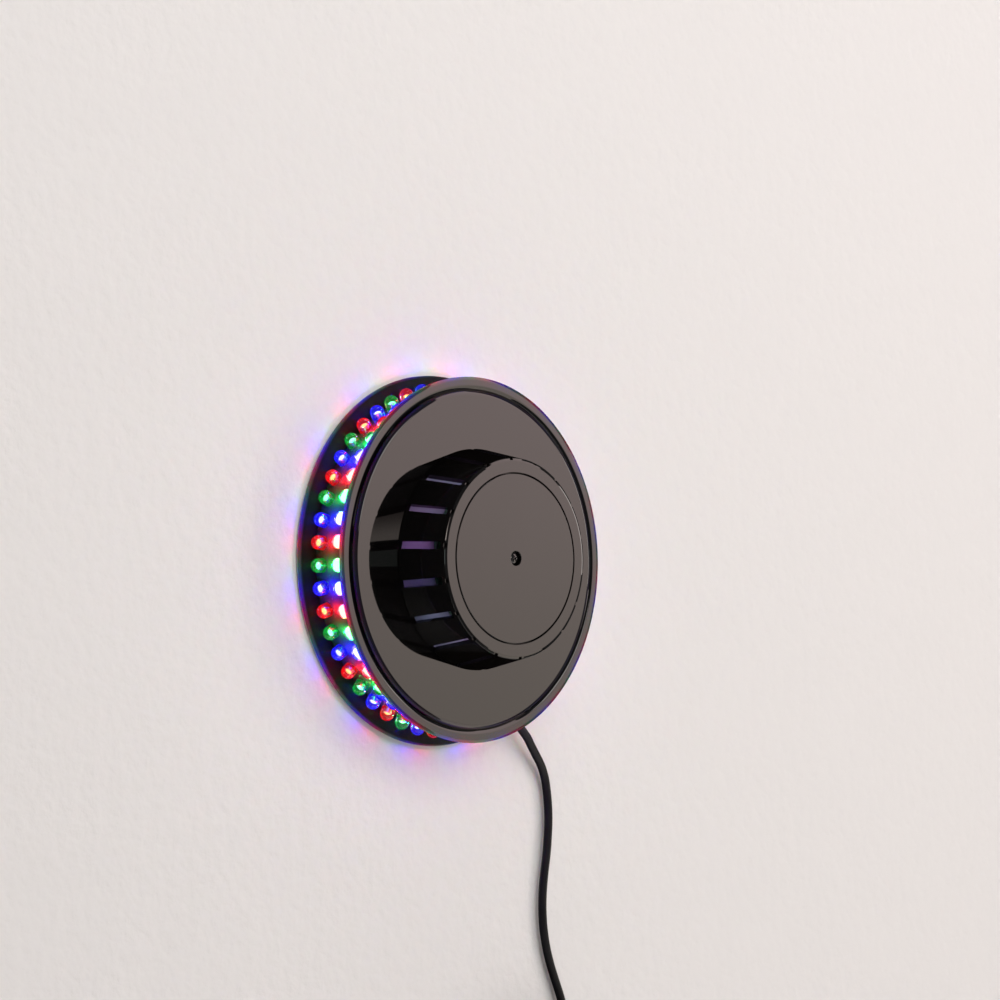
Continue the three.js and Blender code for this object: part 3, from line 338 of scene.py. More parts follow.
class Finish:
    """A node material around one Principled shader, on Object coordinates."""

    def __init__(self, name, colour, roughness, metallic=0.0, **sockets):
        self.material = bpy.data.materials.new(name)
        self.material.use_nodes = True
        self.tree = self.material.node_tree
        self.shader = self.tree.nodes["Principled BSDF"]
        self.shader.inputs["Base Color"].default_value = (*colour, 1)
        self.shader.inputs["Roughness"].default_value = roughness
        self.shader.inputs["Metallic"].default_value = metallic
        for socket, value in sockets.items():
            self.shader.inputs[socket.replace("_", " ")].default_value = value
        self.place = self.node("ShaderNodeTexCoord").outputs["Object"]

    def node(self, kind, inputs=None, **values):
        made = self.tree.nodes.new(kind)
        for key, value in values.items():
            setattr(made, key, value)
        for key, value in (inputs or {}).items():
            if isinstance(value, bpy.types.NodeSocket):
                self.tree.links.new(value, made.inputs[key])
            else:
                made.inputs[key].default_value = value
        return made

    def noise(self, scale, detail=3.0, stretch=(1, 1, 1)):
        place = self.node("ShaderNodeMapping", {"Vector": self.place, "Scale": stretch}).outputs[0]
        sockets = {"Vector": place, "Scale": scale, "Detail": detail}
        return self.node("ShaderNodeTexNoise", sockets).outputs["Fac"]

    def spread(self, source, low, high, start=0.3, end=0.7):
        """A value that runs from low to high as the source runs from start to end."""
        sockets = {
            "Value": source, "From Min": start, "From Max": end, "To Min": low, "To Max": high,
        }
        return self.node("ShaderNodeMapRange", sockets).outputs[0]

    def reckon(self, operation, *values):
        """One step of arithmetic on numbers or sockets."""
        return self.node("ShaderNodeMath", dict(enumerate(values)), operation=operation).outputs[0]

    def number(self, factor, first, second):
        """A number between two others."""
        return self.node("ShaderNodeMix", {0: factor, 2: first, 3: second}).outputs[0]

    def mix(self, factor, first, second):
        made = self.node("ShaderNodeMix", {0: factor}, data_type="RGBA")
        for index, value in ((6, first), (7, second)):
            if isinstance(value, bpy.types.NodeSocket):
                self.tree.links.new(value, made.inputs[index])
            else:
                made.inputs[index].default_value = (*value, 1)
        return made.outputs[2]

    def colour(self, source):
        self.tree.links.new(source, self.shader.inputs["Base Color"])
        return self

    def roughness(self, source):
        self.tree.links.new(source, self.shader.inputs["Roughness"])
        return self

    def specular(self, source):
        self.tree.links.new(source, self.shader.inputs["Specular IOR Level"])
        return self

    def bump(self, height, distance, strength=1.0):
        sockets = {"Height": height, "Distance": distance, "Strength": strength}
        normal = self.node("ShaderNodeBump", sockets).outputs[0]
        self.tree.links.new(normal, self.shader.inputs["Normal"])
        return self


def gloss_black(name="black_gloss_abs", dull=0.03):
    """Polished black ABS: nearly a mirror, with a faint flow in the surface and a few dull wipe marks."""
    finish = Finish(name, (0.003, 0.0026, 0.0024), dull, IOR=1.52)
    wipes = finish.noise(26, 4, (1, 1, 3.2))
    finish.shine = finish.spread(wipes, 0.8 * dull, 1.8 * dull, 0.35, 0.75)
    finish.roughness(finish.shine)
    haze = finish.spread(finish.noise(16, 4, (1.6, 1, 0.7)), 0.0, 1.0, 0.4, 0.68)
    finish.colour(finish.mix(haze, (0.0025, 0.0021, 0.002), (0.006, 0.005, 0.0045)))
    return finish.bump(finish.noise(55, 1), 0.000012)


def front_black():
    """The front disc's polished black, left unpolished and paler where the hub covers it, with painted shade
    darkening its groove and the groove's shoulders.
    """
    finish = gloss_black("black_gloss_front")
    flat = finish.node("ShaderNodeVectorMath", {0: finish.place, 1: (1, 0, 1)}, operation="MULTIPLY")
    reach = finish.node("ShaderNodeVectorMath", {0: flat.outputs[0]}, operation="LENGTH").outputs["Value"]
    covered = finish.reckon("LESS_THAN", reach, MM * COVERED_RADIUS)
    finish.roughness(finish.number(covered, finish.shine, 0.5))
    # Painted shade: the groove and its shoulders get a darker black than the rest of the face.
    groove_reach = MM * (GROOVE_HALF_WIDTH + SHOULDER_WIDTH)
    groove = finish.reckon("COMPARE", reach, MM * GROOVE_FLOOR[0], groove_reach)
    outside = finish.mix(groove, (0.003, 0.0026, 0.0024), (0.0005, 0.0005, 0.0005))
    finish.colour(finish.mix(covered, outside, (0.07, 0.07, 0.075)))
    return finish


def hub_black():
    """The hub's polished black, dulled on the upper and lower parts of its side."""
    finish = gloss_black("black_gloss_hub")
    parts = finish.node("ShaderNodeSeparateXYZ", {"Vector": finish.place}).outputs
    far = finish.spread(finish.reckon("ABSOLUTE", parts["Z"]), 0.0, 1.0, MM * 24, MM * 33)
    behind = finish.reckon("GREATER_THAN", parts["Y"], -MM * (HUB_FRONT - 0.4))
    return finish.specular(finish.number(finish.reckon("MULTIPLY", far, behind), 0.5, 0.0))


def satin_black(name, colour=(0.02, 0.02, 0.022), roughness=0.4, grain=900):
    """Moulded black plastic with a fine grain."""
    finish = Finish(name, colour, roughness)
    finish.roughness(finish.spread(finish.noise(60), roughness * 0.8, roughness * 1.2))
    lighter = tuple(1.5 * part for part in colour)
    finish.colour(finish.mix(finish.noise(35), colour, lighter))
    return finish.bump(finish.noise(grain, 2), 0.00004).material


def rear_black():
    """The rear disc's dull black. Its front hardly mirrors the LEDs, and its back is a little paler."""
    finish = Finish("black_rear_abs", (0.006, 0.006, 0.007), 0.45)
    out = finish.node("ShaderNodeSeparateXYZ", {"Vector": finish.place}).outputs["Y"]
    back = finish.reckon("GREATER_THAN", out, -MM * 0.4)
    finish.specular(finish.number(back, 0.12, 0.5))
    finish.roughness(finish.spread(finish.noise(60), 0.36, 0.54))
    front = finish.mix(finish.noise(35), (0.006, 0.006, 0.007), (0.01, 0.01, 0.011))
    finish.colour(finish.mix(back, front, (0.03, 0.03, 0.032)))
    return finish.bump(finish.noise(700, 2), 0.00003).material


def drum_black():
    """The drum's black plastic, smoother than satin, with faint turning marks across it."""
    finish = Finish("black_drum", (0.03, 0.03, 0.033), 0.22)
    finish.roughness(finish.spread(finish.noise(120), 0.16, 0.3))
    finish.colour(finish.mix(finish.noise(50), (0.026, 0.026, 0.029), (0.036, 0.036, 0.04)))
    return finish.bump(finish.noise(400, 2, (1, 4, 1)), 0.00003).material


def cable_black():
    """PVC jacket with a half gloss and the faint lengthwise scuffs that a lead gets."""
    finish = Finish("black_pvc_cable", (0.006, 0.006, 0.007), 0.36, Specular_IOR_Level=0.3)
    finish.roughness(finish.spread(finish.noise(220, 3), 0.28, 0.5))
    finish.colour(finish.mix(finish.noise(90), (0.005, 0.005, 0.006), (0.011, 0.011, 0.012)))
    return finish.bump(finish.noise(1500, 2), 0.00003).material


def metal(name, colour, roughness, grain=800, stretch=(1, 1, 1)):
    """Plated metal with fine marks."""
    finish = Finish(name, colour, roughness, 1.0)
    finish.roughness(finish.spread(finish.noise(grain, 3, stretch), roughness * 0.7, roughness * 1.4))
    darker = tuple(0.82 * part for part in colour)
    finish.colour(finish.mix(finish.noise(300), darker, colour))
    return finish.bump(finish.noise(grain, 2, stretch), 0.00001).material


def led_epoxy(name, tint, glow, strength):
    """Clear epoxy of an LED, with the light that it scatters."""
    finish = Finish(name, tint, 0.02, IOR=1.53, Transmission_Weight=1.0, Emission_Strength=strength)
    finish.shader.inputs["Emission Color"].default_value = (*glow, 1)
    finish.roughness(finish.spread(finish.noise(700, 2), 0.01, 0.04))
    return finish.material


def led_glow(name, colour, strength):
    """The lit chip in its cup."""
    finish = Finish(name, colour, 0.4, Emission_Strength=strength)
    finish.shader.inputs["Emission Color"].default_value = (*colour, 1)
    flicker = finish.noise(2500, 1)
    paler = tuple(min(1.0, part + 0.04) for part in colour)
    finish.colour(finish.mix(flicker, colour, paler))
    return finish.material


def circuit_board():
    """Glass fibre board: green solder mask over straight copper tracks."""
    finish = Finish("circuit_board", (0.02, 0.13, 0.05), 0.35)
    sockets = {"Scale": 260.0, "Mortar Size": 0.05, "Brick Width": 0.9, "Row Height": 0.45}
    bricks = finish.node("ShaderNodeTexBrick", {"Vector": finish.place, **sockets})
    weave = finish.noise(1200, 2)
    mask = finish.mix(weave, (0.015, 0.11, 0.04), (0.025, 0.15, 0.06))
    finish.colour(finish.mix(bricks.outputs["Fac"], mask, (0.06, 0.24, 0.08)))
    return finish.bump(bricks.outputs["Fac"], 0.00004).material


def component(name, colour, roughness):
    """Moulded or dipped body of an electronic component."""
    finish = Finish(name, colour, roughness)
    finish.colour(finish.mix(finish.noise(400), colour, tuple(1.35 * part for part in colour)))
    finish.roughness(finish.spread(finish.noise(900), roughness * 0.8, roughness * 1.25))
    return finish.bump(finish.noise(1500, 2), 0.00003).material


def ribbon_grey():
    """Grey flat cable with its conductors side by side."""
    finish = Finish("grey_flat_cable", (0.3, 0.3, 0.31), 0.45)
    sockets = {"Vector": finish.place, "Scale": 400.0}
    bands = finish.node("ShaderNodeTexWave", sockets, wave_type="BANDS", bands_direction="X")
    wave = bands.outputs["Fac"]
    finish.colour(finish.mix(wave, (0.22, 0.22, 0.23), (0.36, 0.36, 0.37)))
    return finish.bump(wave, 0.0001).material


LED_LIGHT = {"red": (1.0, 0.006, 0.01), "green": (0.006, 0.8, 0.08), "blue": (0.012, 0.01, 1.0)}
CHIP_LIGHT = {
    "front": {"red": (1.0, 0.08, 0.07), "green": (0.1, 1.0, 0.2), "blue": (0.1, 0.1, 1.0)},
    "rear": {"red": (1.0, 0.3, 0.1), "green": (0.2, 1.0, 0.45), "blue": (0.3, 0.32, 1.0)},
}
CHIP_STRENGTH = {
    "front": {"red": 14.0, "green": 9.0, "blue": 13.0},
    "rear": {"red": 3.0, "green": 2.6, "blue": 3.4},
}
GLOW_SHARE = {"red": 1.0, "green": 0.45, "blue": 1.7}
HUB_LIGHT = [
    (0.52, 0.45, 0.75), (0.85, 0.25, 0.9), (0.38, 0.34, 0.9),
    (0.42, 0.45, 0.85), (0.5, 0.58, 0.9), (0.62, 0.56, 0.9),
]

black_gloss = gloss_black().material
black_front = front_black().material
black_hub = hub_black().material
black_rear = rear_black()
black_satin = satin_black("black_satin")
black_drum = drum_black()
black_cable = cable_black()
plug_black = satin_black("plug_black", (0.018, 0.018, 0.019), 0.5, 1400)
screw_steel = metal("zinc_plated_steel", (0.62, 0.62, 0.64), 0.25)
screw_dark = metal("blackened_steel", (0.1, 0.1, 0.1), 0.22)
pin_nickel = metal("nickel_plate", (0.72, 0.71, 0.68), 0.18)
lead_frame = metal("tinned_lead_frame", (0.7, 0.7, 0.72), 0.3)
epoxies = {
    "red": led_epoxy("led_epoxy_red", (1.0, 0.8, 0.8), LED_LIGHT["red"], 0.2),
    "green": led_epoxy("led_epoxy_green", (0.8, 1.0, 0.86), LED_LIGHT["green"], 0.09),
    "blue": led_epoxy("led_epoxy_blue", (0.82, 0.84, 1.0), LED_LIGHT["blue"], 0.3),
}
glows = {
    row: {
        name: led_glow(f"{row}_chip_{name}", CHIP_LIGHT[row][name], CHIP_STRENGTH[row][name])
        for name in LED_COLOURS
    }
    for row in ROWS
}


# The cord, its coil, tie and plug

def coil_point(turns):
    """Middle of the coil's cord after some turns. It spirals in and out, and climbs where it reverses."""
    layer = min(int(turns / COIL_TURNS_PER_LAYER), COIL_LAYERS - 1)
    within = turns - layer * COIL_TURNS_PER_LAYER
    inwards = within if layer % 2 == 0 else COIL_TURNS_PER_LAYER - within
    radius = COIL_OUTER - COIL_PITCH * inwards
    nearest = round(turns / COIL_TURNS_PER_LAYER)
    past = turns - nearest * COIL_TURNS_PER_LAYER
    share = min(max(past / COIL_CLIMB_TURNS + 0.5, 0.0), 1.0) if 0 < nearest < COIL_LAYERS else 0.0
    climb = share * share * (3 - 2 * share)
    level = min(max(nearest - 1, 0) + climb, COIL_LAYERS - 1)
    x, y = polar(radius, -360 * turns)
    return COIL_X + x, COIL_Y + y, COIL_BASE + COIL_RISE * level


def cord_points():
    """The whole cord's middle, from inside the strain relief to inside the plug's sleeve."""
    inside = (*polar(RELIEF_TIP - CORD_IN_RELIEF, LEAD_ANGLE), ROWS["rear"])
    exit_point = (*polar(RELIEF_TIP, LEAD_ANGLE), ROWS["rear"])
    straight = (COIL_X + COIL_OUTER, COIL_Y + 4 * LEAD_RADIUS, COIL_BASE)
    turns = COIL_LAYERS * COIL_TURNS_PER_LAYER
    rings = round(turns * COIL_STEPS)
    coil = [coil_point(turns * k / rings) for k in range(rings + 1)]
    end = Vector(coil[-1])
    tail = [tuple(end + Vector(offset)) for offset in TAIL_ROUTE]
    last = (tail[-1][0] - 2 * LEAD_RADIUS, end.y, PLUG_MIDDLE)
    into_plug = (last[0] - CORD_IN_PLUG, end.y, PLUG_MIDDLE)
    return [inside, exit_point, *LEAD_ROUTE, straight, *coil, *tail, last, into_plug]


def tube_curve(name, points):
    """A stretch of the lead along points in the lamp's axes, as one open spline."""
    data = bpy.data.curves.new(name, "CURVE")
    data.dimensions = "3D"
    data.bevel_depth = LEAD_RADIUS * MM
    data.bevel_resolution = 4
    data.use_fill_caps = True
    data.resolution_u = 3
    spline = data.splines.new("BEZIER")
    spline.bezier_points.add(len(points) - 1)
    for bezier, point in zip(spline.bezier_points, points):
        bezier.co = TO_FRAME @ Vector(point)
        bezier.handle_left_type = bezier.handle_right_type = "AUTO"
    data.materials.append(black_cable)
    made = bpy.data.objects.new(name, data)
    shown(made)
    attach(made, "lamp")
    return made


def make_tie():
    """A strap round all the turns, with rounded corners."""
    inner = COIL_OUTER - COIL_PITCH * COIL_TURNS_PER_LAYER - LEAD_RADIUS - TIE_SLACK
    outer = COIL_OUTER + LEAD_RADIUS + TIE_SLACK
    low = COIL_BASE - LEAD_RADIUS - TIE_SLACK
    high = COIL_BASE + COIL_RISE * (COIL_LAYERS - 1) + LEAD_RADIUS + TIE_SLACK
    centre = (COIL_X - (inner + outer) / 2, COIL_Y, (low + high) / 2)
    across, out = outer - inner + 2 * TIE_THICKNESS, high - low + 2 * TIE_THICKNESS
    bm = block((across, TIE_WIDTH, out), centre)
    ends = [face for face in bm.faces if abs(face.normal.y) > 0.9]
    bmesh.ops.delete(bm, geom=ends, context="FACES_ONLY")
    bevelled(bm, edges_along(bm, 1), TIE_CORNER, 5)
    bmesh.ops.recalc_face_normals(bm, faces=bm.faces)
    bmesh.ops.solidify(bm, geom=bm.faces, thickness=TIE_THICKNESS)
    bmesh.ops.recalc_face_normals(bm, faces=bm.faces)
    soften(bm, 0.15, 60)
    return piece(bm, "coil_tie", black_satin, "cord_tie", slot="black_satin")


def make_plug(back):
    """A flat plug with slanting shoulders, grips and a ribbed sleeve on the lead. Its pins point to -x."""
    face = back - PLUG_LENGTH
    y = COIL_Y - COIL_OUTER
    half, neck = PLUG_WIDTH / 2, PLUG_NECK / 2
    outline = [
        (back, y - neck), (back, y + neck), (back - PLUG_SHOULDER, y + half),
        (face + PLUG_CORNER, y + half), (face, y + half - PLUG_CORNER),
        (face, y - half + PLUG_CORNER), (face + PLUG_CORNER, y - half), (back - PLUG_SHOULDER, y - half),
    ]
    bm = bmesh.new()
    base = bm.faces.new([bm.verts.new((x, across, PLUG_LIFT)) for x, across in outline])
    grown = bmesh.ops.extrude_face_region(bm, geom=[base])
    top = [item for item in grown["geom"] if isinstance(item, bmesh.types.BMVert)]
    bmesh.ops.translate(bm, verts=top, vec=(0, 0, PLUG_THICKNESS))
    bmesh.ops.recalc_face_normals(bm, faces=bm.faces)
    bevelled(bm, edges_along(bm, 2), PLUG_UPRIGHT_ROUND, 4)
    soften(bm, PLUG_EDGE_ROUND, 60, 4)
    turn = turned(90, "Y")
    sockets = []
    for side in (-1, 1):
        socket = rod(PIN_RADIUS + 0.05, -1, PIN_SOCKET)
        socket.transform(Matrix.Translation((face, y + side * PIN_SPACING / 2, PLUG_MIDDLE)) @ turn)
        sockets.append(socket)
    first = back - PLUG_SHOULDER - GRIP_START
    grips = [block(GRIP_SIZE, (first - GRIP_PITCH * k, y, PLUG_LIFT + PLUG_THICKNESS)) for k in range(GRIPS)]
    bm = carved(bm, [*sockets, *grips])
    sleeve = [(0, -SLEEVE_SEAT), (PLUG_RELIEF_RADIUS, -SLEEVE_SEAT)]
    for k in range(SLEEVE_RIBS):
        low, high = (PLUG_RELIEF_LENGTH * end / SLEEVE_RIBS for end in (k, k + 1))
        wide = PLUG_RELIEF_RADIUS + (PLUG_RELIEF_TIP - PLUG_RELIEF_RADIUS) * k / SLEEVE_RIBS
        deep = wide - RIB_DEPTH
        sleeve += [(wide, low), (wide - 0.05, high - 0.9), (deep, high - 0.7), (deep, high - 0.2)]
    sleeve += [(PLUG_RELIEF_TIP, PLUG_RELIEF_LENGTH), (0, PLUG_RELIEF_LENGTH)]
    relief = spun(sleeve, SMALL_STEPS)
    relief.transform(Matrix.Translation((back, y, PLUG_MIDDLE)) @ turn)
    made = piece(merged([bm, relief]), "plug", plug_black, "plug_body", slot="plug_black", smooth=40)
    pins = []
    for number, side in ((1, -1), (2, 1)):
        bare = PIN_RADIUS - SLEEVE_STEP
        profile = [
            (0, GAP - PIN_SOCKET), (PIN_RADIUS, GAP - PIN_SOCKET), (PIN_RADIUS, PIN_SLEEVE, 0.1),
            (bare, PIN_SLEEVE), (bare, PIN_LENGTH, PIN_END_ROUND), (0, PIN_LENGTH),
        ]
        pin = spun(rounded(profile, False), SMALL_STEPS)
        for one in pin.faces:
            one.material_index = 1 if one.calc_center_median().z > PIN_SLEEVE - 0.05 else 0
        place = Matrix.Translation((face, y + side * PIN_SPACING / 2, PLUG_MIDDLE))
        pin.transform(place @ turned(-90, "Y"))
        name = "plug_pin_%d" % number
        pins.append(piece(pin, name + "_turned", [plug_black, pin_nickel], name, slot="pin_nickel"))
    return [made, *pins]


def make_cord():
    points = cord_points()
    flex = tube_curve("mains_lead", points)
    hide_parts("cord_lead", "cord_coil", "cord_tail")
    last = points[-2]
    plug = make_plug(last[0] - GAP - PLUG_RELIEF_LENGTH)
    tie = make_tie()


# The discs, the drum and its LEDs

def make_front_cover():
    """Front disc with its groove and the post for the cap's screw."""
    back = DISC_DEPTH - FRONT_THICKNESS
    ring = DISC_DEPTH - RING_DROP
    edge = [(FRONT_RADIUS - inwards, ring - drop) for inwards, drop in reversed(FRONT_EDGE)]
    shares = [step / SHOULDER_STEPS for step in range(SHOULDER_STEPS + 1)]
    falls = [(SHOULDER_WIDTH * share, SHOULDER_DROP * share ** 2) for share in shares]
    middle, reach = GROOVE_FLOOR[0], GROOVE_HALF_WIDTH + SHOULDER_WIDTH
    outer = [(middle + reach - inwards, ring - drop) for inwards, drop in falls]
    inner = [(middle - reach + outwards, DISC_DEPTH - drop) for outwards, drop in falls]
    profile = [
        (0, back), (FRONT_RADIUS, back, FRONT_BACK_EDGE), *edge, *outer, GROOVE_FLOOR,
        *reversed(inner), (POST_RADIUS, DISC_DEPTH), (POST_RADIUS, POST_FRONT), (0, POST_FRONT),
    ]
    bm = spun(rounded(profile, False), DISC_STEPS)
    return piece(bm, "front_disc", black_front, "front_cover", slot="black_gloss", smooth=7.5)


def make_rear_cover():
    """Rear disc with its screw columns, keyholes and the window of the switch."""
    profile = [
        (0, 0), (REAR_RADIUS, 0, REAR_BACK_EDGE), (REAR_RADIUS, REAR_THICKNESS, REAR_EDGE),
        (0, REAR_THICKNESS),
    ]
    disc = spun(rounded(profile, False), DISC_STEPS)
    places = [polar(COVER_SCREW_CIRCLE, COVER_SCREW_PHASE + 120 * k) for k in range(3)]
    columns = [rod(COLUMN_RADIUS, REAR_THICKNESS - 0.4, COLUMN_TOP, x, y) for x, y in places]
    cutters = []
    for x, y in places:
        cutters.append(rod(COUNTERBORE_RADIUS, -1, COUNTERBORE_DEPTH, x, y))
        cutters.append(rod(COLUMN_HOLE, COUNTERBORE_DEPTH - 1, COLUMN_TOP + 1, x, y))
    for x in (-KEYHOLE_X, KEYHOLE_X):
        cutters.append(rod(KEYHOLE_ENTRY, -1, REAR_THICKNESS + 1, x, KEYHOLE_Y))
        cutters.append(rod(KEYHOLE_SLOT, -1, REAR_THICKNESS + 1, x, KEYHOLE_Y + KEYHOLE_TRAVEL))
        middle = (x, KEYHOLE_Y + KEYHOLE_TRAVEL / 2, REAR_THICKNESS / 2)
        cutters.append(block((2 * KEYHOLE_SLOT, KEYHOLE_TRAVEL, REAR_THICKNESS + 2), middle))
    window = (*SWITCH_WINDOW, REAR_THICKNESS + 2)
    cutters.append(block(window, (SWITCH_X, SWITCH_Y, REAR_THICKNESS / 2)))
    bm = carved(merged([disc, *columns]), cutters)
    return piece(bm, "rear_disc", black_rear, "rear_cover", slot="black_gloss")


def make_drum():
    """The drum between the discs, with a round hole for each LED and one for the lead."""
    low = REAR_THICKNESS - SEAT_DEPTH + GAP
    high = DISC_DEPTH - FRONT_THICKNESS + SEAT_DEPTH - GAP
    inner = DRUM_RADIUS - DRUM_WALL
    wall = [(inner, low), (DRUM_RADIUS, low), (DRUM_RADIUS, high), (inner, high)]
    shell = spun(wall, DISC_STEPS, True)
    holes = []
    for row, z in ROWS.items():
        for place in range(LEDS_PER_ROW):
            lead = row == "rear" and place == LEAD_PLACE
            radius = RELIEF_RADIUS + GAP if lead else LED_HOLE
            hole = rod(radius, inner - 1, DRUM_RADIUS + 1, steps=LED_STEPS)
            holes.append(point_out(hole, led_angle(place), z))
    return piece(carved(shell, holes), "drum", black_drum, "led_drum", slot="black_satin", smooth=25)


def led_shape(cup_radius):
    """One LED along z: epoxy body with its flange and dome, the lit cup inside, its post and two legs."""
    base, shoulder = LED_TIP - LED_LENGTH, LED_TIP - LED_RADIUS
    dome = [polar(LED_RADIUS, 90 * k / 7) for k in range(7)]
    flange = base + FLANGE_HEIGHT
    body = [(0, base), (LED_FLANGE, base), (LED_FLANGE, flange), (LED_RADIUS, flange)]
    body += [(x, shoulder + y) for x, y in dome] + [(0, LED_TIP)]
    epoxy = spun(body, LED_STEPS)
    top = LED_TIP - CUP_DEPTH
    foot, rim = top - CUP_HEIGHT, cup_radius - CUP_LIP
    wall = [(0, foot), (cup_radius, foot), (cup_radius, top), (rim, top), (CUP_FLOOR, top - CUP_FLOOR)]
    cup = spun(wall, CUP_STEPS)
    lit = [(0.65, top - 0.55), (rim, top - 0.02), (0.6 * rim, top + 0.25), (0, top + 0.4)]
    chip = spun(lit, CUP_STEPS)
    leg = (LEG_WIDTH, LEG_WIDTH, LEG_LENGTH)
    posts = [
        block((LEG_WIDTH, LEG_WIDTH, foot - base - 0.2), (0.45, 0, (foot + base + 0.2) / 2)),
        block((LEG_WIDTH, LEG_WIDTH, top - base - 2.6), (-1.35, 0, (top + base) / 2 - 1.0)),
        block(leg, (LEG_X, 0, base - 0.4)),
        block(leg, (-LEG_X, 0, base - 0.4)),
    ]
    for index, shape in enumerate((epoxy, chip, cup, *posts)):
        for face in shape.faces:
            face.material_index = min(index, 2)
            face.smooth = True
    return merged([epoxy, chip, cup, *posts])


def make_leds():
    """Six strings, one for each colour of each row, as pieces that stand for the CAD strings."""
    for row, z in ROWS.items():
        one = bpy.data.meshes.new("led")
        shape = led_shape(CUP_RADII[row])
        shape.to_mesh(one)
        shape.free()
        for colour, name in enumerate(LED_COLOURS):
            string = bmesh.new()
            for place in range(colour, LEDS_PER_ROW, len(LED_COLOURS)):
                if row == "rear" and place == LEAD_PLACE:
                    continue
                led = bmesh.new()
                led.from_mesh(one)
                point_out(led, led_angle(place), z)
                placed = bpy.data.meshes.new("placed_led")
                led.to_mesh(placed)
                led.free()
                string.from_mesh(placed)
                bpy.data.meshes.remove(placed)
            node = "%s_leds_%s" % (row, name)
            finishes = [epoxies[name], glows[row][name], lead_frame]
            piece(string, node + "_lit", finishes, node, slot="led_" + name, smooth=40)
        bpy.data.meshes.remove(one)


# The hub

def make_hub():
    """The tapered housing with its slots and nicks, open at the front for the cap."""
    slope = (HUB_BASE_RADIUS - HUB_FRONT_RADIUS) / (HUB_FRONT - HUB_FOOT)
    ledge_front = HUB_FRONT - CAP_THICKNESS - GAP
    ledge_back = ledge_front - LEDGE_THICKNESS
    ledge_wall = HUB_BASE_RADIUS - slope * (ledge_back - HUB_FOOT)
    rim = [(HUB_FRONT_RADIUS - inwards, HUB_FRONT - drop) for inwards, drop in HUB_EDGE]
    profile = [
        (HUB_BASE_RADIUS - HUB_WALL, HUB_FOOT), (HUB_BASE_RADIUS, HUB_FOOT), *rim,
        (LEDGE_INNER, HUB_FRONT), (LEDGE_INNER, ledge_back), (ledge_wall - HUB_WALL, ledge_back),
    ]
    shell = spun(profile, HUB_STEPS, True, HUB_PHASE)
    places = [polar(HUB_SCREW_CIRCLE, HUB_SCREW_PHASE + 120 * k) for k in range(3)]
    bosses = [rod(HUB_BOSS_RADIUS, HUB_FOOT, ledge_back + 0.4, x, y) for x, y in places]
    cutters = [rod(CAP_RADIUS + CAP_SEAM, ledge_front, HUB_FRONT + 1, steps=DISC_STEPS)]
    inner, outer = ledge_wall - 2 * HUB_WALL, HUB_BASE_RADIUS + 1
    for k in range(HUB_SLOTS):
        degrees = HUB_PHASE + k * 360 / HUB_SLOTS
        middle = (*polar((inner + outer) / 2, degrees), (HUB_FOOT - 1 + SLOT_TO) / 2)
        cutters.append(block((outer - inner, SLOT_WIDTH, SLOT_TO - HUB_FOOT + 1), middle, degrees))
        nick = (*polar(HUB_FRONT_RADIUS, degrees), HUB_FRONT)
        cutters.append(block((2 * NICK_DEPTH, NICK_WIDTH, 2 * NICK_DEPTH), nick, degrees))
    bm = carved(merged([shell, *bosses]), cutters)
    crisp = HUB_FRONT - 2 * NICK_DEPTH
    soften(bm, 0.15, 12, 2, lambda edge: max(vert.co.z for vert in edge.verts) < crisp)
    return piece(bm, "hub", black_hub, "hub_housing", slot="black_gloss", smooth=6)


def make_cap():
    """The hub's flat round cap with a sunk hole for its screw."""
    back = HUB_FRONT - CAP_THICKNESS
    profile = [
        (RECESS_HOLE, BOSS_BACK), (BOSS_RADIUS, BOSS_BACK), (BOSS_RADIUS, back), (CAP_RADIUS, back),
        (CAP_RADIUS, HUB_FRONT, 0.25), (RECESS_RADIUS, HUB_FRONT, 0.2), (RECESS_RADIUS, RECESS_FLOOR),
        (RECESS_HOLE, RECESS_FLOOR),
    ]
    bm = spun(rounded(profile, True), DISC_STEPS, True)
    return piece(bm, "cap", black_gloss, "hub_cap", slot="black_gloss")


def screw_shape(head_radius, head_height, shank_radius, length):
    """A screw along z: a domed head with its top at z = 0, a cross recess and a pointed, ringed shank."""
    dome = 0.35 * head_height
    profile = [
        (0, 0), (head_radius * 0.55, -0.06 * head_height), (head_radius * 0.9, -dome),
        (head_radius, -1.6 * dome), (head_radius, -head_height), (shank_radius, -head_height),
    ]
    pitch = 0.9 * shank_radius
    core = shank_radius - 0.12 * shank_radius
    rings = int((length - 2 * shank_radius) / pitch)
    for k in range(rings):
        z = -head_height - pitch * (k + 0.2)
        profile += [(core, z), (shank_radius, z - pitch / 3), (core, z - pitch * 0.6)]
    profile.append((0, -head_height - length))
    bm = spun(profile, SCREW_STEPS)
    arm, width, deep = 1.15 * head_radius, 0.24 * head_radius, 0.6 * head_height
    cross = [block((arm, width, 2 * deep), (0, 0, 0)), block((width, arm, 2 * deep), (0, 0, 0))]
    return carved(bm, cross)


def make_screws():
    """The cap's screw, and the three that hold the discs together from behind."""
    cap_screw = screw_shape(2.1, 1.1, 1.1, 8.0)
    turn = turned(28, "Z")
    cap_screw.transform(Matrix.Translation((0, 0, HUB_FRONT - 0.5)) @ turn)
    piece(cap_screw, "cap_screw", screw_dark, "hub_cap_screw", slot="screw_steel")
    for k in range(3):
        x, y = polar(COVER_SCREW_CIRCLE, COVER_SCREW_PHASE + 120 * k)
        back = COUNTERBORE_DEPTH - GAP - 1.7
        screw = screw_shape(2.8, 1.7, 1.5, 12.0)
        over = turned(180, "X")
        turn = turned(35 + 40 * k, "Z")
        screw.transform(Matrix.Translation((x, y, back)) @ over @ turn)
        node = "cover_screw_%d" % (k + 1)
        piece(screw, node + "_turned", screw_steel, node, slot="screw_steel")


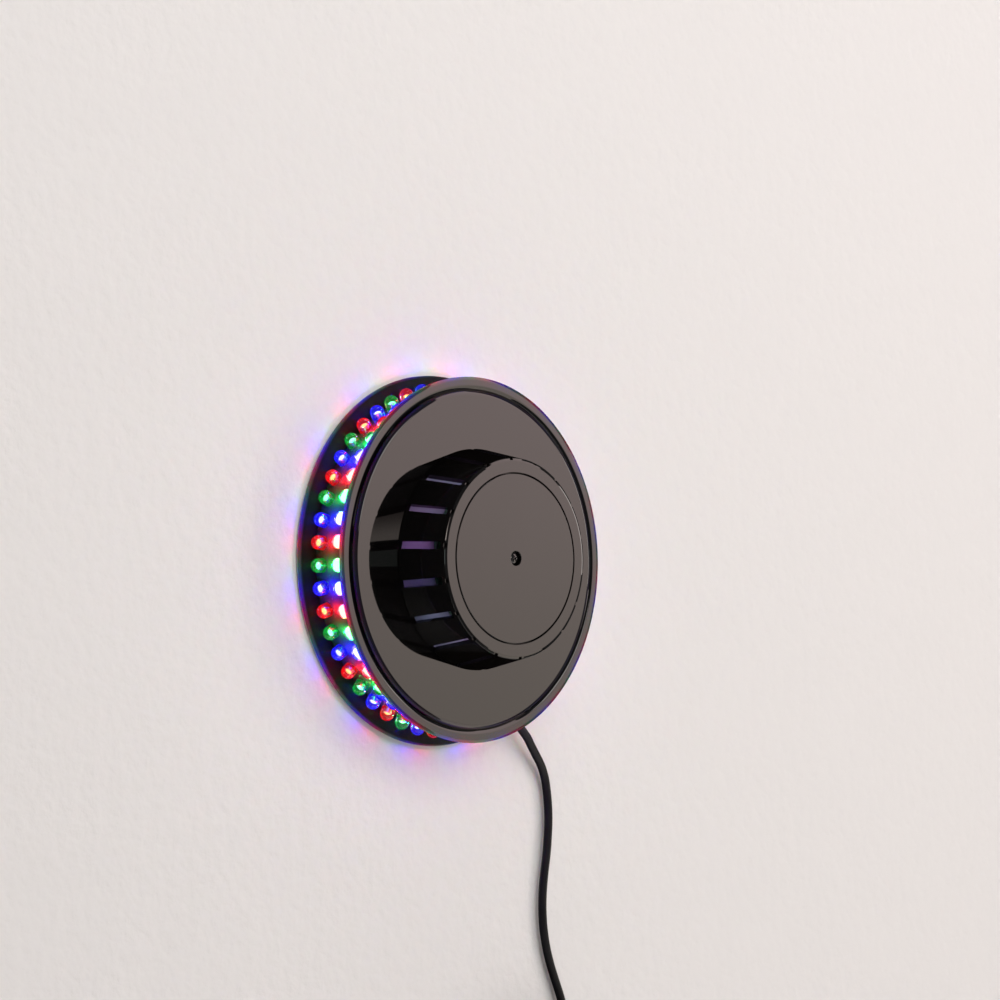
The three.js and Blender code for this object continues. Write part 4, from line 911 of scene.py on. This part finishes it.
def make_slider():
    """The switch's slider: a base in the case and a ridged nub in the back's window."""
    back = REAR_THICKNESS + GAP
    base = soften(block(SLIDER_BASE, (SLIDER_X, SWITCH_Y, back + SLIDER_BASE[2] / 2)), 0.2, 60)
    low, high = 0.5, back + 0.4
    nub = block((*SLIDER_NUB, high - low), (SLIDER_X, SWITCH_Y, (low + high) / 2))
    ridges = [block((0.35, 4.0, 0.7), (SLIDER_X + 0.75 * k, SWITCH_Y, low)) for k in (-1, 0, 1)]
    nub = soften(carved(nub, ridges), 0.08, 60)
    bm = merged([base, nub])
    return piece(bm, "slider", black_satin, "mode_slider", body="switch_slider", slot="black_satin")


def make_relief():
    """The ringed sleeve where the lead leaves the drum, with its head behind the drum's wall."""
    collar = DRUM_RADIUS + RELIEF_COLLAR
    profile = [
        (0, RELIEF_TAIL), (RELIEF_TIP_RADIUS, RELIEF_TAIL), (RELIEF_RADIUS, RELIEF_NECK),
        (RELIEF_RADIUS, collar),
    ]
    outside, rings = RELIEF_TIP - collar, 4
    for k in range(rings):
        low, high = (collar + outside * end / rings for end in (k, k + 1))
        wide = RELIEF_RADIUS + (RELIEF_TIP_RADIUS - RELIEF_RADIUS) * (k + 1) / rings
        profile += [(wide - 0.3, low + 0.1), (wide - 0.3, low + 0.5), (wide, low + 0.6), (wide, high)]
    profile.append((0, RELIEF_TIP))
    sleeve = spun(profile, SCREW_STEPS)
    head_place = (0, 0, DRUM_RADIUS - DRUM_WALL - GAP - RELIEF_HEAD[2] / 2)
    head = soften(block(RELIEF_HEAD, head_place), 0.5, 60)
    bm = point_out(merged([sleeve, head]), LEAD_ANGLE, ROWS["rear"])
    return piece(bm, "relief", black_cable, "strain_relief", slot="black_cable")


def make_inner_lead():
    """The lead inside the lamp, along the rear disc and up to the driver board."""
    rise, bend, driver_back = 17.2, 13.0, 27.0
    start, arc_centre, low = RELIEF_TAIL - GAP, rise + bend, ROWS["rear"]
    points = [(start, low), ((start + arc_centre) / 2, low)]
    for degrees in (0, 30, 60, 90):
        angle = math.radians(degrees)
        points.append((arc_centre - bend * math.sin(angle), low + bend * (1 - math.cos(angle))))
    points.append((rise, driver_back - GAP))
    route = [(*polar(radius, LEAD_ANGLE), z) for radius, z in points]
    lead = tube_curve("lead_inside", route)
    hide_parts("inner_lead")


def dress_nodes():
    """Finishes for the CAD nodes that stay."""
    board = circuit_board()
    chip = component("black_epoxy_body", (0.018, 0.018, 0.019), 0.5)
    finishes = {
        "led_board": board,
        "driver_board": board,
        "film_capacitor": component("red_brown_film", (0.42, 0.08, 0.02), 0.3),
        "smoothing_capacitor": component("blue_sleeve", (0.02, 0.035, 0.1), 0.3),
        "microphone": metal("drawn_aluminium", (0.72, 0.72, 0.74), 0.35),
        "ribbon_cable": ribbon_grey(),
        "lead_clamp": black_satin,
        "mode_switch_case": chip,
        "controller_chip": chip,
        "bridge_rectifier": chip,
    }
    finishes.update({colour + "_transistor": chip for colour in LED_COLOURS})
    finishes.update({"clamp_screw_%d" % k: screw_steel for k in (1, 2)})
    finishes.update({"hub_screw_%d" % k: screw_steel for k in (1, 2, 3)})
    for node, material in finishes.items():
        slots = nodes[node].material_slots
        for one in slots:
            one.material = material


# Light and surroundings

def wall_material():
    """Pale wall paint, seen from the front only. It takes shadows and gives none."""
    finish = Finish("wall_paint", WALL_PAINT, 0.9)
    finish.bump(finish.noise(180, 4), 0.0006)
    clear = finish.node("ShaderNodeBsdfTransparent").outputs[0]
    behind = finish.node("ShaderNodeNewGeometry").outputs["Backfacing"]
    shadow = finish.node("ShaderNodeLightPath").outputs["Is Shadow Ray"]
    either = finish.reckon("MAXIMUM", behind, shadow)
    mix = finish.node("ShaderNodeMixShader", {0: either, 1: finish.shader.outputs[0], 2: clear})
    surface = finish.tree.nodes["Material Output"].inputs["Surface"]
    finish.tree.links.new(mix.outputs[0], surface)
    return finish.material


def sheet(name, place, degrees, material):
    """A large flat sheet of the surroundings, tipped up by an angle."""
    bm = bmesh.new()
    bmesh.ops.create_grid(bm, x_segments=1, y_segments=1, size=STAGE_REACH)
    bm.transform(Matrix.Translation(place) @ turned(degrees, "X"))
    made = loose(bm, name)
    made.data.materials.append(material)
    shown(made)
    return made


def make_stage():
    """A pale wall behind the lamp, a pale floor below it, and a dark card that only gloss mirrors."""
    wall = sheet("wall", (0, WALL_GAP, STAGE_MIDDLE), 90, wall_material())
    floor_paint = Finish("floor_paint", WALL_PAINT, 0.85).material
    floor = sheet("floor", (0, 0, FLOOR_HEIGHT), 0, floor_paint)
    card_black = Finish("dark_card", (0.02, 0.02, 0.022), 0.9).material
    card = sheet("dark_card", (0, -CARD_OUT, STAGE_MIDDLE), 90, card_black)
    card.visible_camera = card.visible_diffuse = False
    card.visible_transmission = card.visible_shadow = False
    return wall, floor


def make_light(name, kind, place, energy, colour=(1, 1, 1), aim=None, **values):
    data = bpy.data.lights.new(name, kind)
    data.energy, data.color = energy, colour
    for key, value in values.items():
        setattr(data, key, value)
    light = bpy.data.objects.new(name, data)
    shown(light)
    light.location = place
    light.visible_camera = False
    if aim is not None:
        light.rotation_mode = "QUATERNION"
        light.rotation_quaternion = (Vector(aim) - Vector(place)).to_track_quat("-Z", "Y")
    return light


def graded(light, top, bottom, start, end):
    """Lets an area light run from one colour to another between two heights, as shares of its own."""
    light.data.use_nodes = True
    tree = light.data.node_tree
    split = tree.nodes.new("ShaderNodeSeparateXYZ")
    tree.links.new(tree.nodes.new("ShaderNodeNewGeometry").outputs["Parametric"], split.inputs[0])
    height = tree.nodes.new("ShaderNodeMapRange")
    height.interpolation_type = "SMOOTHSTEP"
    height.inputs["From Min"].default_value, height.inputs["From Max"].default_value = start, end
    tree.links.new(split.outputs["Y"], height.inputs["Value"])
    mix = tree.nodes.new("ShaderNodeMix")
    mix.data_type = "RGBA"
    tree.links.new(height.outputs[0], mix.inputs["Factor"])
    mix.inputs[6].default_value, mix.inputs[7].default_value = (*bottom, 1), (*top, 1)
    tree.links.new(mix.outputs[2], tree.nodes["Emission"].inputs["Color"])


def receivers(name, state, *made):
    """A list of the things that a light reaches, or leaves out."""
    group = bpy.data.collections.new(name)
    for one in made:
        group.objects.link(one)
    for entry in group.collection_objects:
        entry.light_linking.link_state = state
    return group


def led_ring(name, radius, out, energy, reached, mirrored=True):
    """One small lamp for each place of the rows, in the colour of its LEDs."""
    for place in range(LEDS_PER_ROW):
        colour = LED_COLOURS[place % len(LED_COLOURS)]
        at = TO_FRAME @ Vector((*polar(radius, led_angle(place)), out))
        light = make_light(
            "%s_%02d" % (name, place), "POINT", at, GLOW_SHARE[colour] * energy, LED_LIGHT[colour],
            shadow_soft_size=GLOW_SIZE,
        )
        light.light_linking.receiver_collection = reached
        light.visible_glossy = mirrored


def beside(degrees, height=LIGHT_HEIGHT):
    """A place round the lamp, in degrees from the wall on its right towards the room."""
    x, out = polar(LIGHT_DISTANCE, degrees)
    return x, -out, height


def area(name, place, energy, width, height, colour=(1, 1, 1), mirrored=True):
    """A soft area light that faces the lamp."""
    light = make_light(
        name, "AREA", place, energy, colour, (0, 0, 0), shape="RECTANGLE", size=width, size_y=height
    )
    light.visible_glossy = mirrored
    return light


def make_sky():
    """A dim even sky. The camera, gloss and glass see it brighter than the lamp is lit by it."""
    world = bpy.data.worlds.new("sky")
    world.use_nodes = True
    tree = world.node_tree
    sky = tree.nodes["Background"]
    sky.inputs["Color"].default_value = SKY_COLOUR
    rays = tree.nodes.new("ShaderNodeLightPath").outputs
    seen = rays["Is Camera Ray"]
    for ray in ("Is Glossy Ray", "Is Transmission Ray"):
        either = tree.nodes.new("ShaderNodeMath")
        either.operation = "MAXIMUM"
        tree.links.new(seen, either.inputs[0])
        tree.links.new(rays[ray], either.inputs[1])
        seen = either.outputs[0]
    strength = tree.nodes.new("ShaderNodeMapRange")
    strength.inputs["To Min"].default_value = SKY_LIGHT
    strength.inputs["To Max"].default_value = SKY_SEEN
    tree.links.new(seen, strength.inputs["Value"])
    tree.links.new(strength.outputs[0], sky.inputs["Strength"])
    bpy.context.scene.world = world


def make_lights(wall, floor):
    """Soft lights and windows that the gloss mirrors, fills that it doesn't, and the LEDs' own light."""
    softbox = area("softbox", beside(44), 6.9, 0.36, 2.3)
    graded(softbox, (1.0, 0.79, 0.76), (0.66, 0.57, 0.49), 0.4, 0.58)
    area("strip", beside(29, 0.13), 0.8, 0.18, 0.28, (1.0, 0.9, 0.85))
    upper = area("upper_window", beside(106, 0.46), 3.2, 0.34, 0.36)
    graded(upper, (0.2, 0.16, 0.15), (1.0, 0.86, 0.78), 0.0, 0.9)
    area("lower_window", beside(112, 0.03), 0.16, 0.18, 0.22, (0.85, 1.0, 0.92))
    area("fill", (-0.5, -1.1, 1.1), 6.0, 1.0, 1.0, mirrored=False)
    area("front_fill", (0.9, -1.2, 0.2), 4.0, 1.2, 1.2, mirrored=False)
    wash = area("wall_wash", (0.1, -1.5, 0.9), 9.0, 1.4, 1.0, mirrored=False)
    wash.light_linking.receiver_collection = receivers("wall_and_floor", "INCLUDE", wall, floor)
    area("top", (0.1, -0.5, 1.4), 2.0, 0.8, 0.3)
    area("behind", (0.2, 1.1, 0.5), 24.0, 1.0, 1.0)
    hub, front, rear, cap = (bpy.data.objects[name] for name in ("hub", "front_disc", "rear_disc", "cap"))
    wall_alone = receivers("wall_alone", "INCLUDE", wall)
    housing = receivers("housing", "INCLUDE", hub, front, cap)
    front_alone = receivers("front_alone", "INCLUDE", front)
    rear_alone = receivers("rear_alone", "INCLUDE", rear)
    between = receivers("between_the_discs", "EXCLUDE", wall, rear)
    led_ring("lamp_glow", DRUM_RADIUS + 1.6, 10.3, 0.012, between)
    led_ring("rim_glow", FRONT_RADIUS + 5.0, 21.5, 0.25, front_alone, False)
    led_ring("wall_glow", LED_TIP + 0.8, 3.9, 0.0014, wall_alone)
    left_strip = area("left_strip", beside(58, 0.24), 0.9, 0.2, 0.3, (1.0, 0.94, 0.9))
    left_strip.light_linking.receiver_collection = front_alone
    led_ring("edge_glow", REAR_RADIUS + 6.0, 1.0, 0.035, rear_alone, False)
    radius, out = HUB_GLOW_PLACE
    for k in range(HUB_SLOTS):
        between_slots = HUB_PHASE + (k + 0.5) * 360 / HUB_SLOTS
        at = TO_FRAME @ Vector((*polar(radius, between_slots), out))
        colour = HUB_LIGHT[k % len(HUB_LIGHT)]
        light = make_light(
            "hub_glow_%02d" % k, "POINT", at, HUB_GLOW, colour, shadow_soft_size=HUB_GLOW_SIZE
        )
        light.light_linking.receiver_collection = housing
        light.visible_glossy = False
    make_sky()


make_camera()
make_cord()
make_front_cover()
make_rear_cover()
make_drum()
make_leds()
make_hub()
make_cap()
make_screws()
make_slider()
make_relief()
make_inner_lead()
dress_nodes()
make_lights(*make_stage())

bpy.context.scene.view_settings.view_transform = "Standard"
